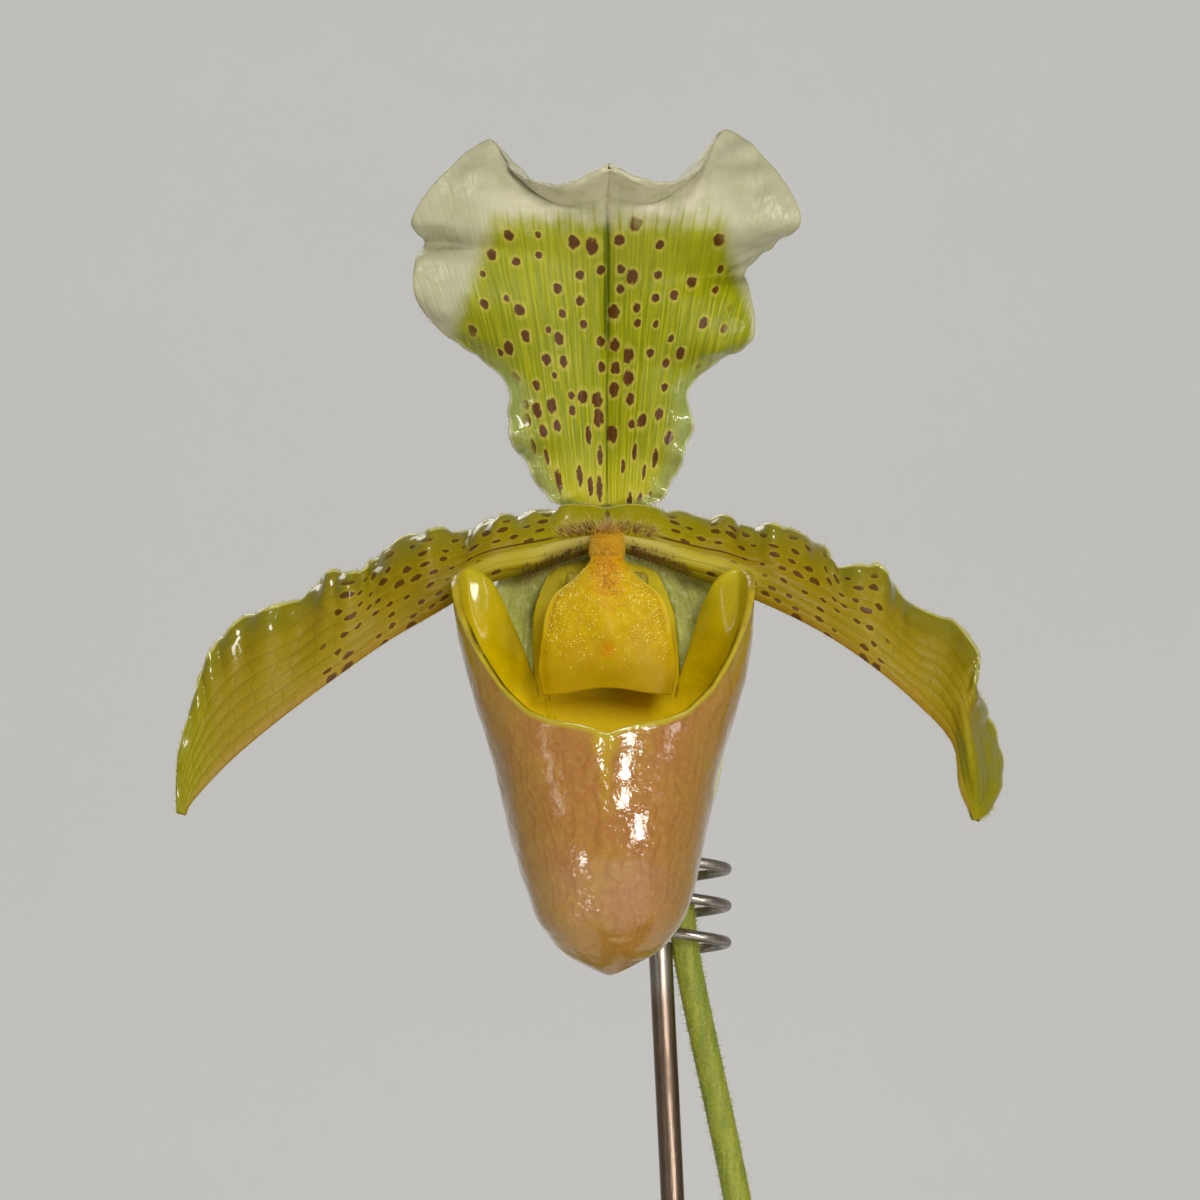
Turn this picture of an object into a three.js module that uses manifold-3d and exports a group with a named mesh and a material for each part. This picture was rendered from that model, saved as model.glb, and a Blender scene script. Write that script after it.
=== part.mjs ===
// A slipper orchid, Paphiopedilum insigne, in flower in a plain clay pot of bark.
// Two leaf fans stand in the bark. The flower's scape rises from the right fan, held by a coiled wire stake.
// Millimetres, +Z up. The origin is the centre of the pot's foot, and the flower faces -Y.
import * as THREE from "three";
import { mergeVertices } from "three/addons/utils/BufferGeometryUtils.js";
import Module from "manifold-3d";

const wasm = await Module();
wasm.setup();

const seatGap = 0.3; // clearance between two pieces that touch

const pot = {
  footRadius: 41,
  neckRadius: 54,
  neckHeight: 82,
  rimUnderRadius: 58,
  rimTopRadius: 60.5,
  height: 106,
  wall: 4.6,
  floor: 7,
  drainHoles: 4,
  drainRadius: 5,
  drainRing: 24,
  segments: 36,
};

const bark = {
  level: 93, // height of the surface at the pot's wall
  crown: 4, // how much higher the middle lies
  chips: 46,
  chipLength: [12, 21],
  chipWidth: [8, 13],
  chipThickness: [4, 7],
  seed: 11,
};

const flowerCentre = new THREE.Vector3(-22, -8, 345); // where sepals, petals and lip meet
const petalThickness = 0.9;
const lipWall = 0.9;
const sepal = { crown: 2.4, dip: 3 }; // how far its halves bow forward, and how far its top sags beside the tip
const synsepalCrown = 0.8;
const petalCup = 2.2;
const petalRidge = 4.2; // the fold near the right petal's tip
const receptacle = { radius: 3.1, behind: 4.4 };
const stigma = { radius: 3, lean: 24, place: [0, -4.4, -7.2] };
const anther = { radius: 1.3, scale: [0.8, 1.1, 0.96], place: [3.95, -4.2, -6.1] };

const stem = { baseRadius: 2.2, topRadius: 1.65, sides: 10 };

const stake = {
  rodRadius: 1.45,
  rodTop: new THREE.Vector3(-15.5, 2.6, 294.8),
  lean: 0.049, // sideways travel for each millimetre of height
  sunkTo: 38,
  coilRadius: 4.3,
  wireRadius: 0.68,
  coilAxis: new THREE.Vector3(-11.7, 3, 0),
  coilStart: 292.4,
  pitch: 4.5,
  turns: 2.85,
};

const leaf = { thickness: 1, rows: 15, fold: 0.09, baseDepth: 13 };

// Each fan lists its leaves from the outermost in. side is a leaf's heading and turn its drift by the tip, in
// degrees. The leaf leans out from startLean at the end of its sheath to endLean at its tip.
const fans = [
  {
    name: "fan1",
    x: 14,
    y: 6,
    innerRadius: 2.75,
    leaves: [
      { side: -82, turn: 40, length: 172, width: 24, startLean: 12, endLean: 118, sheath: 12 },
      { side: 98, turn: -58, length: 190, width: 26, startLean: 9, endLean: 116, sheath: 17 },
      { side: -82, turn: 52, length: 214, width: 28, startLean: 6, endLean: 104, sheath: 24 },
      { side: 98, turn: -40, length: 222, width: 28, startLean: 4, endLean: 100, sheath: 31 },
      { side: -82, turn: 22, length: 205, width: 27, startLean: 3, endLean: 82, sheath: 38 },
      { side: 98, turn: -20, length: 180, width: 25, startLean: 2, endLean: 66, sheath: 45 },
    ],
  },
  {
    name: "fan2",
    x: -25,
    y: 9,
    innerRadius: 1.35,
    leaves: [
      { side: 97, turn: 62, length: 168, width: 24, startLean: 12, endLean: 120, sheath: 10 },
      { side: -83, turn: -52, length: 186, width: 25, startLean: 9, endLean: 114, sheath: 15 },
      { side: 97, turn: 38, length: 206, width: 27, startLean: 6, endLean: 100, sheath: 22 },
      { side: -83, turn: -34, length: 196, width: 26, startLean: 4, endLean: 88, sheath: 29 },
      { side: 97, turn: 16, length: 158, width: 22, startLean: 2, endLean: 58, sheath: 34 },
    ],
  },
];

// General helpers

const lerp = THREE.MathUtils.lerp;
const radians = THREE.MathUtils.degToRad;
const smooth = (x, from, to) => THREE.MathUtils.smoothstep(x, from, to);
const bell = (x, middle, width) => Math.exp(-Math.pow((x - middle) / width, 2));

function curveThrough(points) {
  return new THREE.CatmullRomCurve3(points.map((p) => new THREE.Vector3(...p)), false, "catmullrom", 0.5);
}

// A smooth value through evenly spaced numbers, read at t from 0 to 1.
function profile(values, t) {
  const place = Math.min(Math.max(t, 0), 1) * (values.length - 1);
  const i = Math.min(Math.floor(place), values.length - 2);
  const before = values[Math.max(i - 1, 0)];
  const after = values[Math.min(i + 2, values.length - 1)];
  const f = place - i;
  const slopeStart = (values[i + 1] - before) / 2;
  const slopeEnd = (after - values[i]) / 2;
  const rise = values[i + 1] - values[i];
  const bend = 3 * rise - 2 * slopeStart - slopeEnd;
  return values[i] + f * (slopeStart + f * (bend + f * (slopeStart + slopeEnd - 2 * rise)));
}

function geometryOf(points, faces) {
  const geometry = new THREE.BufferGeometry();
  const positions = points.flatMap((p) => [p.x, p.y, p.z]);
  geometry.setAttribute("position", new THREE.Float32BufferAttribute(positions, 3));
  geometry.setIndex(faces.flat());
  return geometry;
}

function solidOf(geometry) {
  const bare = geometry.clone();
  bare.deleteAttribute("normal");
  bare.deleteAttribute("uv");
  const merged = mergeVertices(bare, 1e-4);
  return new wasm.Manifold(
    new wasm.Mesh({
      numProp: 3,
      vertProperties: new Float32Array(merged.attributes.position.array),
      triVerts: new Uint32Array(merged.index.array),
    }),
  );
}

function geometryFromSolid(solid) {
  const mesh = solid.getMesh();
  const positions = new Float32Array(mesh.numVert * 3);
  for (let i = 0; i < mesh.numVert; i++) {
    positions.set(mesh.vertProperties.subarray(i * mesh.numProp, i * mesh.numProp + 3), i * 3);
  }
  const geometry = new THREE.BufferGeometry();
  geometry.setAttribute("position", new THREE.BufferAttribute(positions, 3));
  geometry.setIndex(new THREE.BufferAttribute(mesh.triVerts, 1));
  return geometry;
}

function largestBody(solid) {
  return solid.decompose().sort((a, b) => b.volume() - a.volume())[0];
}

// Unit normals of a grid of points, by differences between neighbours. A closed grid wraps round.
function gridNormals(grid, closed) {
  const last = grid.length - 1;
  const columns = grid[0].length;
  const wrap = (c) => (closed ? (c + columns) % columns : Math.min(Math.max(c, 0), columns - 1));
  return grid.map((row, r) =>
    row.map((_, c) => {
      const along = grid[Math.min(r + 1, last)][c].clone().sub(grid[Math.max(r - 1, 0)][c]);
      const across = grid[r][wrap(c + 1)].clone().sub(grid[r][wrap(c - 1)]);
      return across.cross(along).normalize();
    }),
  );
}

// A thin closed solid round a grid of rows and columns, half its thickness on each face.
function blade(grid, thickness) {
  const rows = grid.length;
  const columns = grid[0].length;
  const normals = gridNormals(grid, false);
  const face = (depth) =>
    grid.flatMap((row, r) => row.map((p, c) => p.clone().addScaledVector(normals[r][c], depth)));
  const points = [...face(thickness / 2), ...face(-thickness / 2)];
  const back = rows * columns;
  const at = (r, c) => r * columns + c;
  const faces = [];
  for (let r = 0; r < rows - 1; r++) {
    for (let c = 0; c < columns - 1; c++) {
      const [a, b, d, e] = [at(r, c), at(r, c + 1), at(r + 1, c + 1), at(r + 1, c)];
      faces.push([a, b, d], [a, d, e]);
      faces.push([back + a, back + d, back + b], [back + a, back + e, back + d]);
    }
  }
  const rim = [
    ...Array.from({ length: columns - 1 }, (_, c) => at(0, c)),
    ...Array.from({ length: rows - 1 }, (_, r) => at(r, columns - 1)),
    ...Array.from({ length: columns - 1 }, (_, c) => at(rows - 1, columns - 1 - c)),
    ...Array.from({ length: rows - 1 }, (_, r) => at(rows - 1 - r, 0)),
  ];
  rim.forEach((a, i) => {
    const b = rim[(i + 1) % rim.length];
    faces.push([a, back + b, b], [a, back + a, back + b]);
  });
  return geometryOf(points, faces);
}

// A solid through rings of equal count, closed by a fan at each end.
function loft(rings) {
  const count = rings[0].length;
  const points = rings.flat();
  const faces = [];
  for (let r = 0; r < rings.length - 1; r++) {
    for (let c = 0; c < count; c++) {
      const next = (c + 1) % count;
      faces.push([r * count + c, r * count + next, (r + 1) * count + next]);
      faces.push([r * count + c, (r + 1) * count + next, (r + 1) * count + c]);
    }
  }
  const addCap = (ring, flip) => {
    const centre = points.length;
    points.push(rings[ring].reduce((sum, p) => sum.add(p), new THREE.Vector3()).divideScalar(count));
    for (let c = 0; c < count; c++) {
      const a = ring * count + c;
      const b = ring * count + ((c + 1) % count);
      faces.push(flip ? [b, a, centre] : [a, b, centre]);
    }
  };
  addCap(0, true);
  addCap(rings.length - 1, false);
  return geometryOf(points, faces);
}

// A round rod along a curve. radiusAt gives its radius for t from 0 to 1 and the angle round the rod.
function rodAlong(curve, steps, sides, radiusAt) {
  const frames = curve.computeFrenetFrames(steps, false);
  const rings = [];
  for (let i = 0; i <= steps; i++) {
    const centre = curve.getPointAt(i / steps);
    const ring = [];
    for (let k = 0; k < sides; k++) {
      const angle = (2 * Math.PI * k) / sides;
      const radius = radiusAt(i / steps, angle);
      ring.push(
        centre
          .clone()
          .addScaledVector(frames.normals[i], Math.cos(angle) * radius)
          .addScaledVector(frames.binormals[i], Math.sin(angle) * radius),
      );
    }
    rings.push(ring);
  }
  return loft(rings);
}

// Repeatable random numbers from 0 to 1.
function randomSource(seed) {
  let state = seed;
  return () => {
    state = (state * 16807) % 2147483647;
    return state / 2147483647;
  };
}

// A solid turned round the z axis from [radius, height] pairs
function turned(corners) {
  const outline = corners.map(([r, z]) => new THREE.Vector2(r, z));
  return solidOf(new THREE.LatheGeometry(outline, pot.segments).rotateX(Math.PI / 2));
}

// Pot

function potSolid() {
  const p = pot;
  const inner = p.wall;
  const corners = [
    [0, 0],
    [p.footRadius - 1.5, 0],
    [p.footRadius, 1.5],
    [p.neckRadius, p.neckHeight],
    [p.rimUnderRadius, p.neckHeight + 1.5],
    [p.rimTopRadius, p.height - 2],
    [p.rimTopRadius - 1.5, p.height],
    [p.rimTopRadius - inner + 0.5, p.height],
    [p.rimTopRadius - inner - 1, p.height - 1.5],
    [p.neckRadius - inner, p.neckHeight - 2],
    [p.footRadius - inner + 1, p.floor],
    [0, p.floor],
  ];
  let body = turned(corners);
  for (let i = 0; i < p.drainHoles; i++) {
    const angle = (2 * Math.PI * (i + 0.5)) / p.drainHoles;
    const hole = new THREE.CylinderGeometry(p.drainRadius, p.drainRadius, 4 * p.floor, 12);
    hole.rotateX(Math.PI / 2).translate(p.drainRing * Math.cos(angle), p.drainRing * Math.sin(angle), 0);
    body = body.subtract(solidOf(hole));
  }
  return body;
}

// Radius of the pot's inner wall at a height.
function potInnerRadius(z) {
  const low = pot.footRadius - pot.wall + 1;
  const neck = pot.neckRadius - pot.wall;
  const rim = pot.rimTopRadius - pot.wall - 1;
  const shoulder = pot.neckHeight - 2;
  if (z < shoulder) return lerp(low, neck, (z - pot.floor) / (shoulder - pot.floor));
  return lerp(neck, rim, (z - shoulder) / (pot.height - 1.5 - shoulder));
}

// Bark: one settled mass whose surface is broken by chips lying every way

function barkChip(random) {
  const size = (range) => lerp(range[0], range[1], random());
  const chip = new THREE.BoxGeometry(size(bark.chipLength), size(bark.chipWidth), size(bark.chipThickness));
  const place = chip.attributes.position;
  const squeeze = 0.62 + 0.25 * random();
  for (let i = 0; i < place.count; i++) {
    if (place.getX(i) > 0) place.setY(i, place.getY(i) * squeeze);
    if (place.getZ(i) > 0) place.setX(i, place.getX(i) * 0.84);
  }
  chip.rotateX(radians(34 * (random() - 0.5)));
  chip.rotateY(radians(38 * (random() - 0.5)));
  chip.rotateZ(2 * Math.PI * random());
  return chip;
}

function barkSolid(holes) {
  const floorZ = pot.floor + seatGap;
  const wallGap = 0.5;
  const heights = [floorZ, pot.neckHeight - 2];
  const side = (top) => [...heights, top].map((z) => [potInnerRadius(z) - wallGap, z]);
  const crown = [0.6, 0.3].map((share) => [
    (potInnerRadius(bark.level) - wallGap) * share,
    bark.level + bark.crown * (1 - share * share),
  ]);
  let mass = turned([[0, floorZ], ...side(bark.level), ...crown, [0, bark.level + bark.crown]]);
  const random = randomSource(bark.seed);
  const reach = potInnerRadius(bark.level) - wallGap;
  const goldenAngle = Math.PI * (3 - Math.sqrt(5));
  for (let i = 0; i < bark.chips; i++) {
    const share = Math.sqrt((i + 0.5) / bark.chips);
    const angle = i * goldenAngle + 0.5 * random();
    const radius = (reach - 8.5) * share;
    const z = bark.level + bark.crown * (1 - share * share) + lerp(-0.6, 1.6, random());
    const chip = barkChip(random).translate(Math.cos(angle) * radius, Math.sin(angle) * radius, z);
    mass = mass.add(solidOf(chip));
  }
  mass = mass.intersect(turned([[0, floorZ], ...side(pot.height + 6), [0, pot.height + 6]]));
  for (const hole of holes) mass = mass.subtract(hole);
  return largestBody(mass);
}

// Leaves

// The leaf's midrib leaves the fan upright, leans out past its sheath and arches over.
function leafMidrib(fan, shape, radius) {
  const steps = 60;
  const place = new THREE.Vector3(fan.x, fan.y, bark.level - leaf.baseDepth + seatGap);
  const points = [];
  for (let i = 0; i <= steps; i++) {
    const t = i / steps;
    const heading = radians(shape.side + shape.turn * smooth(t, 0.08, 1));
    const past = Math.max(0, t * shape.length - shape.sheath) / (shape.length - shape.sheath);
    const climb = smooth(t * shape.length, leaf.baseDepth, leaf.baseDepth + shape.sheath);
    const lean = radians(lerp(shape.startLean, shape.endLean, Math.pow(past, 1.15)) * climb);
    const out = new THREE.Vector3(Math.cos(heading), Math.sin(heading), 0);
    if (i === 0) place.addScaledVector(out, radius);
    const direction = out.clone().multiplyScalar(Math.sin(lean)).setZ(Math.cos(lean));
    const upper = out.clone().multiplyScalar(-Math.cos(lean)).setZ(Math.sin(lean));
    points.push({ place: place.clone(), upper, across: direction.clone().cross(upper) });
    place.addScaledVector(direction, shape.length / steps);
  }
  return (t) => {
    const i = Math.min(Math.floor(t * steps), steps - 1);
    const f = t * steps - i;
    const mix = (key) => points[i][key].clone().lerp(points[i + 1][key], f);
    return { place: mix("place"), upper: mix("upper").normalize(), across: mix("across").normalize() };
  };
}

function leafGeometry(fan, shape, radius, thickness = leaf.thickness) {
  const midrib = leafMidrib(fan, shape, radius);
  const baseHalfAngle = radians(93);
  const baseWidth = 2 * baseHalfAngle * radius;
  const sheathShare = shape.sheath / shape.length;
  const acrossShares = [-1, -0.55, -0.06, 0.06, 0.55, 1];
  const grid = [];
  for (let r = 0; r < leaf.rows; r++) {
    const t = r / (leaf.rows - 1);
    const open = smooth(t, sheathShare * 0.6, sheathShare * 0.6 + 0.42);
    const belly = Math.pow(Math.sin(Math.PI * Math.min(1, 0.22 + 0.5 * t)), 0.6);
    const taper = Math.sqrt(1 - Math.pow(Math.max(0, (t - 0.5) / 0.503), 2.6));
    const width = lerp(baseWidth, shape.width * belly, open) * taper;
    const halfAngle = lerp(baseHalfAngle, radians(24), open);
    const arc = Math.max(width, 3) / (2 * halfAngle);
    const fold = leaf.fold * open * width;
    const frame = midrib(t);
    grid.push(
      acrossShares.map((share) =>
        frame.place
          .clone()
          .addScaledVector(frame.across, arc * Math.sin(share * halfAngle))
          .addScaledVector(frame.upper, arc * (1 - Math.cos(share * halfAngle)))
          .addScaledVector(frame.upper, fold * (Math.abs(share) - 0.5)),
      ),
    );
  }
  return blade(grid, thickness);
}

// Flower, in its own frame: x to the right, z up, y away from the viewer

// A grid between three curves: left edge, midrib and right edge. crownAt pushes a point back in depth, and
// dipAt lowers it.
function threeCurveGrid(left, middle, right, rows, halfColumns, crownAt, dipAt = () => 0) {
  const grid = [];
  for (let r = 0; r <= rows; r++) {
    const t = r / rows;
    const [a, m, b] = [left.getPoint(t), middle.getPoint(t), right.getPoint(t)];
    const row = [];
    for (let c = -halfColumns; c <= halfColumns; c++) {
      const share = Math.abs(c) / halfColumns;
      const point = m.clone().lerp(c < 0 ? a : b, share);
      point.y += crownAt(share, t);
      point.z -= dipAt(share, t);
      row.push(point);
    }
    grid.push(row);
  }
  return grid;
}

function dorsalSepalGeometry() {
  const middle = curveThrough([
    [0, 3.4, 3],
    [0, 4.6, 10],
    [0, 5.6, 17],
    [0, 6, 24],
    [0, 5, 31],
    [0, 2.2, 37],
    [0.1, -2.6, 41],
    [0.3, -7.8, 43.3],
  ]);
  const right = curveThrough([
    [2.4, 3.5, 2.8],
    [6.4, 3, 3.6],
    [8.7, 4.4, 7.4],
    [10.4, 2.6, 12.4],
    [9.9, 5.2, 17.2],
    [13.4, 7.4, 20.6],
    [17.7, 3.6, 23.2],
    [17.4, 4.4, 28.6],
    [16.9, 9.6, 31.8],
    [20.2, 5.4, 34.8],
    [23.4, 0.4, 37.6],
    [19.6, 3.6, 44.6],
    [14.3, 8.2, 48.8],
    [10.9, 1.8, 43.6],
    [6.4, -4.8, 41.6],
    [0.9, -7.9, 43.1],
  ]);
  const left = curveThrough([
    [-2.4, 3.5, 2.8],
    [-6.8, 3, 3.6],
    [-9.4, 4.6, 7.4],
    [-12, 2.4, 12],
    [-11.9, 5, 17.2],
    [-15.4, 7, 21],
    [-20.6, 5.2, 24.6],
    [-23.2, 2.2, 28.6],
    [-23.1, 3.4, 32.8],
    [-22, 6.6, 35.2],
    [-23.6, 3, 37.6],
    [-19.8, 3.4, 43.2],
    [-14.3, 7.4, 47.6],
    [-11.1, 2.2, 43.4],
    [-6, -4.4, 41.2],
    [-0.4, -7.9, 43.1],
  ]);
  const bow = (share) => Math.sin(Math.PI * share);
  const crown = (share, t) => -sepal.crown * bow(share) * Math.sin(Math.PI * Math.min(t * 1.15, 1));
  const dip = (share, t) => sepal.dip * bow(share) * bell(t, 0.83, 0.1);
  return blade(threeCurveGrid(left, middle, right, 30, 5, crown, dip), petalThickness);
}

function synsepalGeometry() {
  const middle = curveThrough([
    [0, 3.6, -3],
    [0, 4.6, -14],
    [0, 5.2, -26],
    [0, 3.8, -38],
    [0, 0.8, -47],
  ]);
  const edge = (side) =>
    curveThrough([
      [side * 2.6, 3.6, -2.9],
      [0.3 + side * 12.2, 4.6, -4.4],
      [0.5 + side * 14.8, 4.2, -12.5],
      [0.2 + side * 14.6, 3.2, -23],
      [0.3 + side * 11.2, 2.6, -35.5],
      [side * 0.9, 0.8, -46.8],
    ]);
  const crown = (share, t) => synsepalCrown * Math.sin(Math.PI * share) * Math.sin(Math.PI * t);
  return blade(threeCurveGrid(edge(1), middle, edge(-1), 12, 4, crown), petalThickness);
}

// A petal lies between its upper, wavy edge and its lower edge. ridgeAt pushes a point forward.
function petalGeometry(upperPoints, lowerPoints, ridgeAt = () => 0) {
  const upper = curveThrough(upperPoints);
  const lower = curveThrough(lowerPoints);
  const rows = 38;
  const columns = 6;
  const grid = [];
  for (let r = 0; r <= rows; r++) {
    const t = r / rows;
    const row = [];
    for (let c = 0; c <= columns; c++) {
      const share = c / columns;
      const point = upper.getPoint(t).lerp(lower.getPoint(t), share);
      const cup = -petalCup * Math.sin(Math.PI * share) * (1 - t);
      point.y += cup - ridgeAt(share, t);
      row.push(point);
    }
    grid.push(row);
  }
  return blade(grid, petalThickness);
}

function leftPetalGeometry() {
  const upper = [
    [-1.1, 2.1, 2.6],
    [-3.4, 1.5, 3],
    [-7.2, 2.6, 2.5],
    [-10.4, 4.2, 1.9],
    [-13.6, 3, 1.6],
    [-17, 5.2, -0.2],
    [-20.6, 2.6, 0.2],
    [-24.2, 4, -0.7],
    [-28.2, 5.6, -3.3],
    [-30.2, 1.6, -5],
    [-33.6, 3.2, -5],
    [-36.2, 5, -7.6],
    [-39.6, 1.4, -9],
    [-44.2, 2.8, -10.6],
    [-48, 1.2, -14.8],
    [-49.6, -1.4, -20],
    [-51.4, -4.2, -27],
    [-51.4, -6.6, -33.8],
  ];
  const lower = [
    [-3.5, 1.9, -1.7],
    [-8.6, 0.4, -4.6],
    [-14.4, 0, -6.4],
    [-20.6, -0.6, -10],
    [-26.4, -1.4, -13.4],
    [-32.4, -2.2, -17.6],
    [-38.6, -3.4, -22.2],
    [-44.6, -4.8, -27.2],
    [-48.8, -6, -31.6],
    [-50.5, -6.6, -34],
  ];
  return petalGeometry(upper, lower);
}

function rightPetalGeometry() {
  const upper = [
    [1.1, 2.1, 2.6],
    [3.8, 1.5, 3],
    [7.6, 2.6, 2.4],
    [10.8, 4.2, 1.6],
    [14.6, 3, 1.5],
    [16.8, 5, 0.2],
    [20.6, 2.6, 0.7],
    [24, 4, -0.7],
    [26.6, 5.4, -2.2],
    [28, 2.4, -4.6],
    [32.6, 1.2, -4],
    [35.2, 3.8, -7.4],
    [37.4, 4.8, -9.4],
    [42, 1.6, -11],
    [44.6, -3.6, -15.2],
    [44.2, -4, -18.6],
    [46.2, 3.6, -22.4],
    [48, 4.6, -28.6],
    [46.6, 1.6, -33.4],
    [44.9, -1, -34.9],
  ];
  const lower = [
    [3.5, 1.9, -1.7],
    [8.4, 0.4, -4.6],
    [14.4, 0, -7],
    [21, -0.4, -9.8],
    [27, -1, -13],
    [33, -1.8, -17.2],
    [37.8, -2.6, -21.4],
    [41.4, -3.6, -25.6],
    [42.4, -3, -31],
    [44.1, -1, -34.8],
  ];
  const ridge = (share, t) => petalRidge * bell(t, 0.85, 0.07) * bell(share, 0.62, 0.2);
  return petalGeometry(upper, lower, ridge);
}

// Lip: a slipper whose wall climbs from the toe to a rim that is low in front, high at the two side lobes,
// dips behind them and rises again at the claw, where it is held.
const lip = {
  toeZ: -52.7,
  rows: 11,
  // from the front round to the back: angle in degrees and the rim's height there
  rim: [
    [0, -23.7],
    [12, -22.9],
    [24, -22.4],
    [36, -21.2],
    [48, -18.6],
    [60, -14.6],
    [72, -10.2],
    [84, -7],
    [96, -5.5],
    [108, -4.9],
    [120, -4.7],
    [129, -5.1],
    [136, -6.2],
    [142, -8.4],
    [147, -11.8],
    [152, -16.6],
    [156, -20.4],
    [158.2, -15.6],
    [160.5, -9],
    [166, -5],
    [180, -3.5],
  ],
  // evenly spaced from the toe's height up to topZ
  topZ: -4,
  halfWidth: [0.1, 7.4, 9.8, 11.1, 12.2, 13.3, 14.8, 16.3, 17.3, 17.9, 17.8],
  front: [-15, -22.6, -24.8, -26, -26.2, -25.6, -24.6, -23, -21, -19, -17],
  back: [-15, -9, -6.2, -4, -2.4, -1.2, -0.4, 0, 0.4, 1, 1.7],
  centreX: [0.3, 0.4, 0.35, 0.15, 0.1, 0, 0, 0, -0.2, -0.4, -0.5],
  toeLevel: 0.1, // the toe is rounded below this level
  toeRoundness: 0.6,
  lobe: { angle: 134, spread: 16, forward: 2.2 }, // how the side lobes turn forward in front of the petals
};

function lipPoint(angleDegrees, z) {
  const angle = radians(angleDegrees);
  const height = Math.max(0, (z - lip.toeZ) / (lip.topZ - lip.toeZ));
  const toe = Math.min(1, height / lip.toeLevel);
  const level = height < lip.toeLevel ? lip.toeLevel * Math.pow(toe, lip.toeRoundness) : height;
  const width = profile(lip.halfWidth, level);
  const frontY = profile(lip.front, level);
  const backY = profile(lip.back, level);
  const behind = Math.cos(angle) < 0;
  const squareness = behind ? lerp(1, 0.72, smooth(level, 0.3, 0.7)) : 0.92;
  const squared = (value) => Math.sign(value) * Math.pow(Math.abs(value), squareness);
  const x = profile(lip.centreX, level) + width * squared(Math.sin(angle));
  const y = (frontY + backY) / 2 - ((backY - frontY) / 2) * squared(Math.cos(angle));
  const fromLobe = Math.abs(180 - Math.abs(180 - angleDegrees)) - lip.lobe.angle;
  const forward = lip.lobe.forward * bell(fromLobe, 0, lip.lobe.spread) * smooth(level, 0.6, 1);
  return new THREE.Vector3(x, y - forward, z);
}

function lipGeometry() {
  const half = lip.rim;
  const rim = [...half, ...half.slice(1, -1).reverse().map(([angle, z]) => [360 - angle, z])];
  const grid = [];
  for (let r = 1; r <= lip.rows; r++) {
    const climb = Math.pow(r / lip.rows, 1.6);
    grid.push(rim.map(([angle, top]) => lipPoint(angle, lerp(lip.toeZ, top, climb))));
  }
  const normals = gridNormals(grid, true);
  const inner = grid.map((row, r) => row.map((p, c) => p.clone().addScaledVector(normals[r][c], -lipWall)));
  const count = rim.length;
  const shells = [grid, inner];
  const points = shells.flat(2);
  const faces = [];
  const at = (shell, r, c) => shell * lip.rows * count + r * count + (c % count);
  for (let r = 0; r < lip.rows - 1; r++) {
    for (let c = 0; c < count; c++) {
      for (const shell of [0, 1]) {
        const [a, b] = [at(shell, r, c), at(shell, r, c + 1)];
        const [d, e] = [at(shell, r + 1, c + 1), at(shell, r + 1, c)];
        faces.push(...(shell ? [[a, d, b], [a, e, d]] : [[a, b, d], [a, d, e]]));
      }
    }
  }
  const toe = points.push(lipPoint(0, lip.toeZ)) - 1;
  const innerToe = points.push(lipPoint(0, lip.toeZ).setZ(lip.toeZ + lipWall)) - 1;
  for (let c = 0; c < count; c++) {
    faces.push([at(0, 0, c + 1), at(0, 0, c), toe], [at(1, 0, c), at(1, 0, c + 1), innerToe]);
    const [a, b] = [at(0, lip.rows - 1, c), at(0, lip.rows - 1, c + 1)];
    const [d, e] = [at(1, lip.rows - 1, c + 1), at(1, lip.rows - 1, c)];
    faces.push([a, b, d], [a, d, e]);
  }
  return geometryOf(points, faces);
}

// Where the flower's parts are held: the blunt end of the ovary
function receptacleSolid(clearance = 0) {
  const ball = new THREE.SphereGeometry(receptacle.radius + clearance, 14, 10).scale(1, 0.9, 1);
  return solidOf(ball.translate(0, receptacle.behind, 0));
}

function ovarySolid() {
  const path = curveThrough([
    [7.2, 11, -34.6],
    [5.6, 12, -24],
    [3.4, 12.2, -14],
    [1.2, 10.6, -5.4],
    [0.2, 7.6, -1],
    [0, 5, 0],
  ]);
  const ribbed = (t, angle) => profile([1.6, 2, 2.6, 3, 2.9, 2.6], t) * (1 + 0.07 * Math.cos(6 * angle));
  return solidOf(rodAlong(path, 16, 12, ribbed)).add(receptacleSolid());
}

function bractGeometry() {
  const path = curveThrough([
    [7.9, 11, -38.4],
    [6.6, 11.8, -30],
    [5.2, 13, -20],
    [3.6, 15.4, -10],
    [2.4, 18.4, -3],
  ]);
  const rows = 9;
  const frames = path.computeFrenetFrames(rows - 1, false);
  const backward = new THREE.Vector3(0, 1, 0);
  const grid = [];
  for (let r = 0; r < rows; r++) {
    const t = r / (rows - 1);
    const centre = path.getPointAt(t);
    const tangent = frames.tangents[r];
    const outward = backward.clone().addScaledVector(tangent, -backward.dot(tangent)).normalize();
    const across = tangent.clone().cross(outward);
    const radius = profile([2.6, 3.9, 4.6, 4, 0.8], t);
    const halfAngle = radians(profile([165, 140, 110, 80, 60], t));
    grid.push(
      [-1, -0.6, -0.2, 0.2, 0.6, 1].map((share) =>
        centre
          .clone()
          .addScaledVector(outward, radius * Math.cos(share * halfAngle))
          .addScaledVector(across, radius * Math.sin(share * halfAngle)),
      ),
    );
  }
  return blade(grid, 0.7);
}

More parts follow.
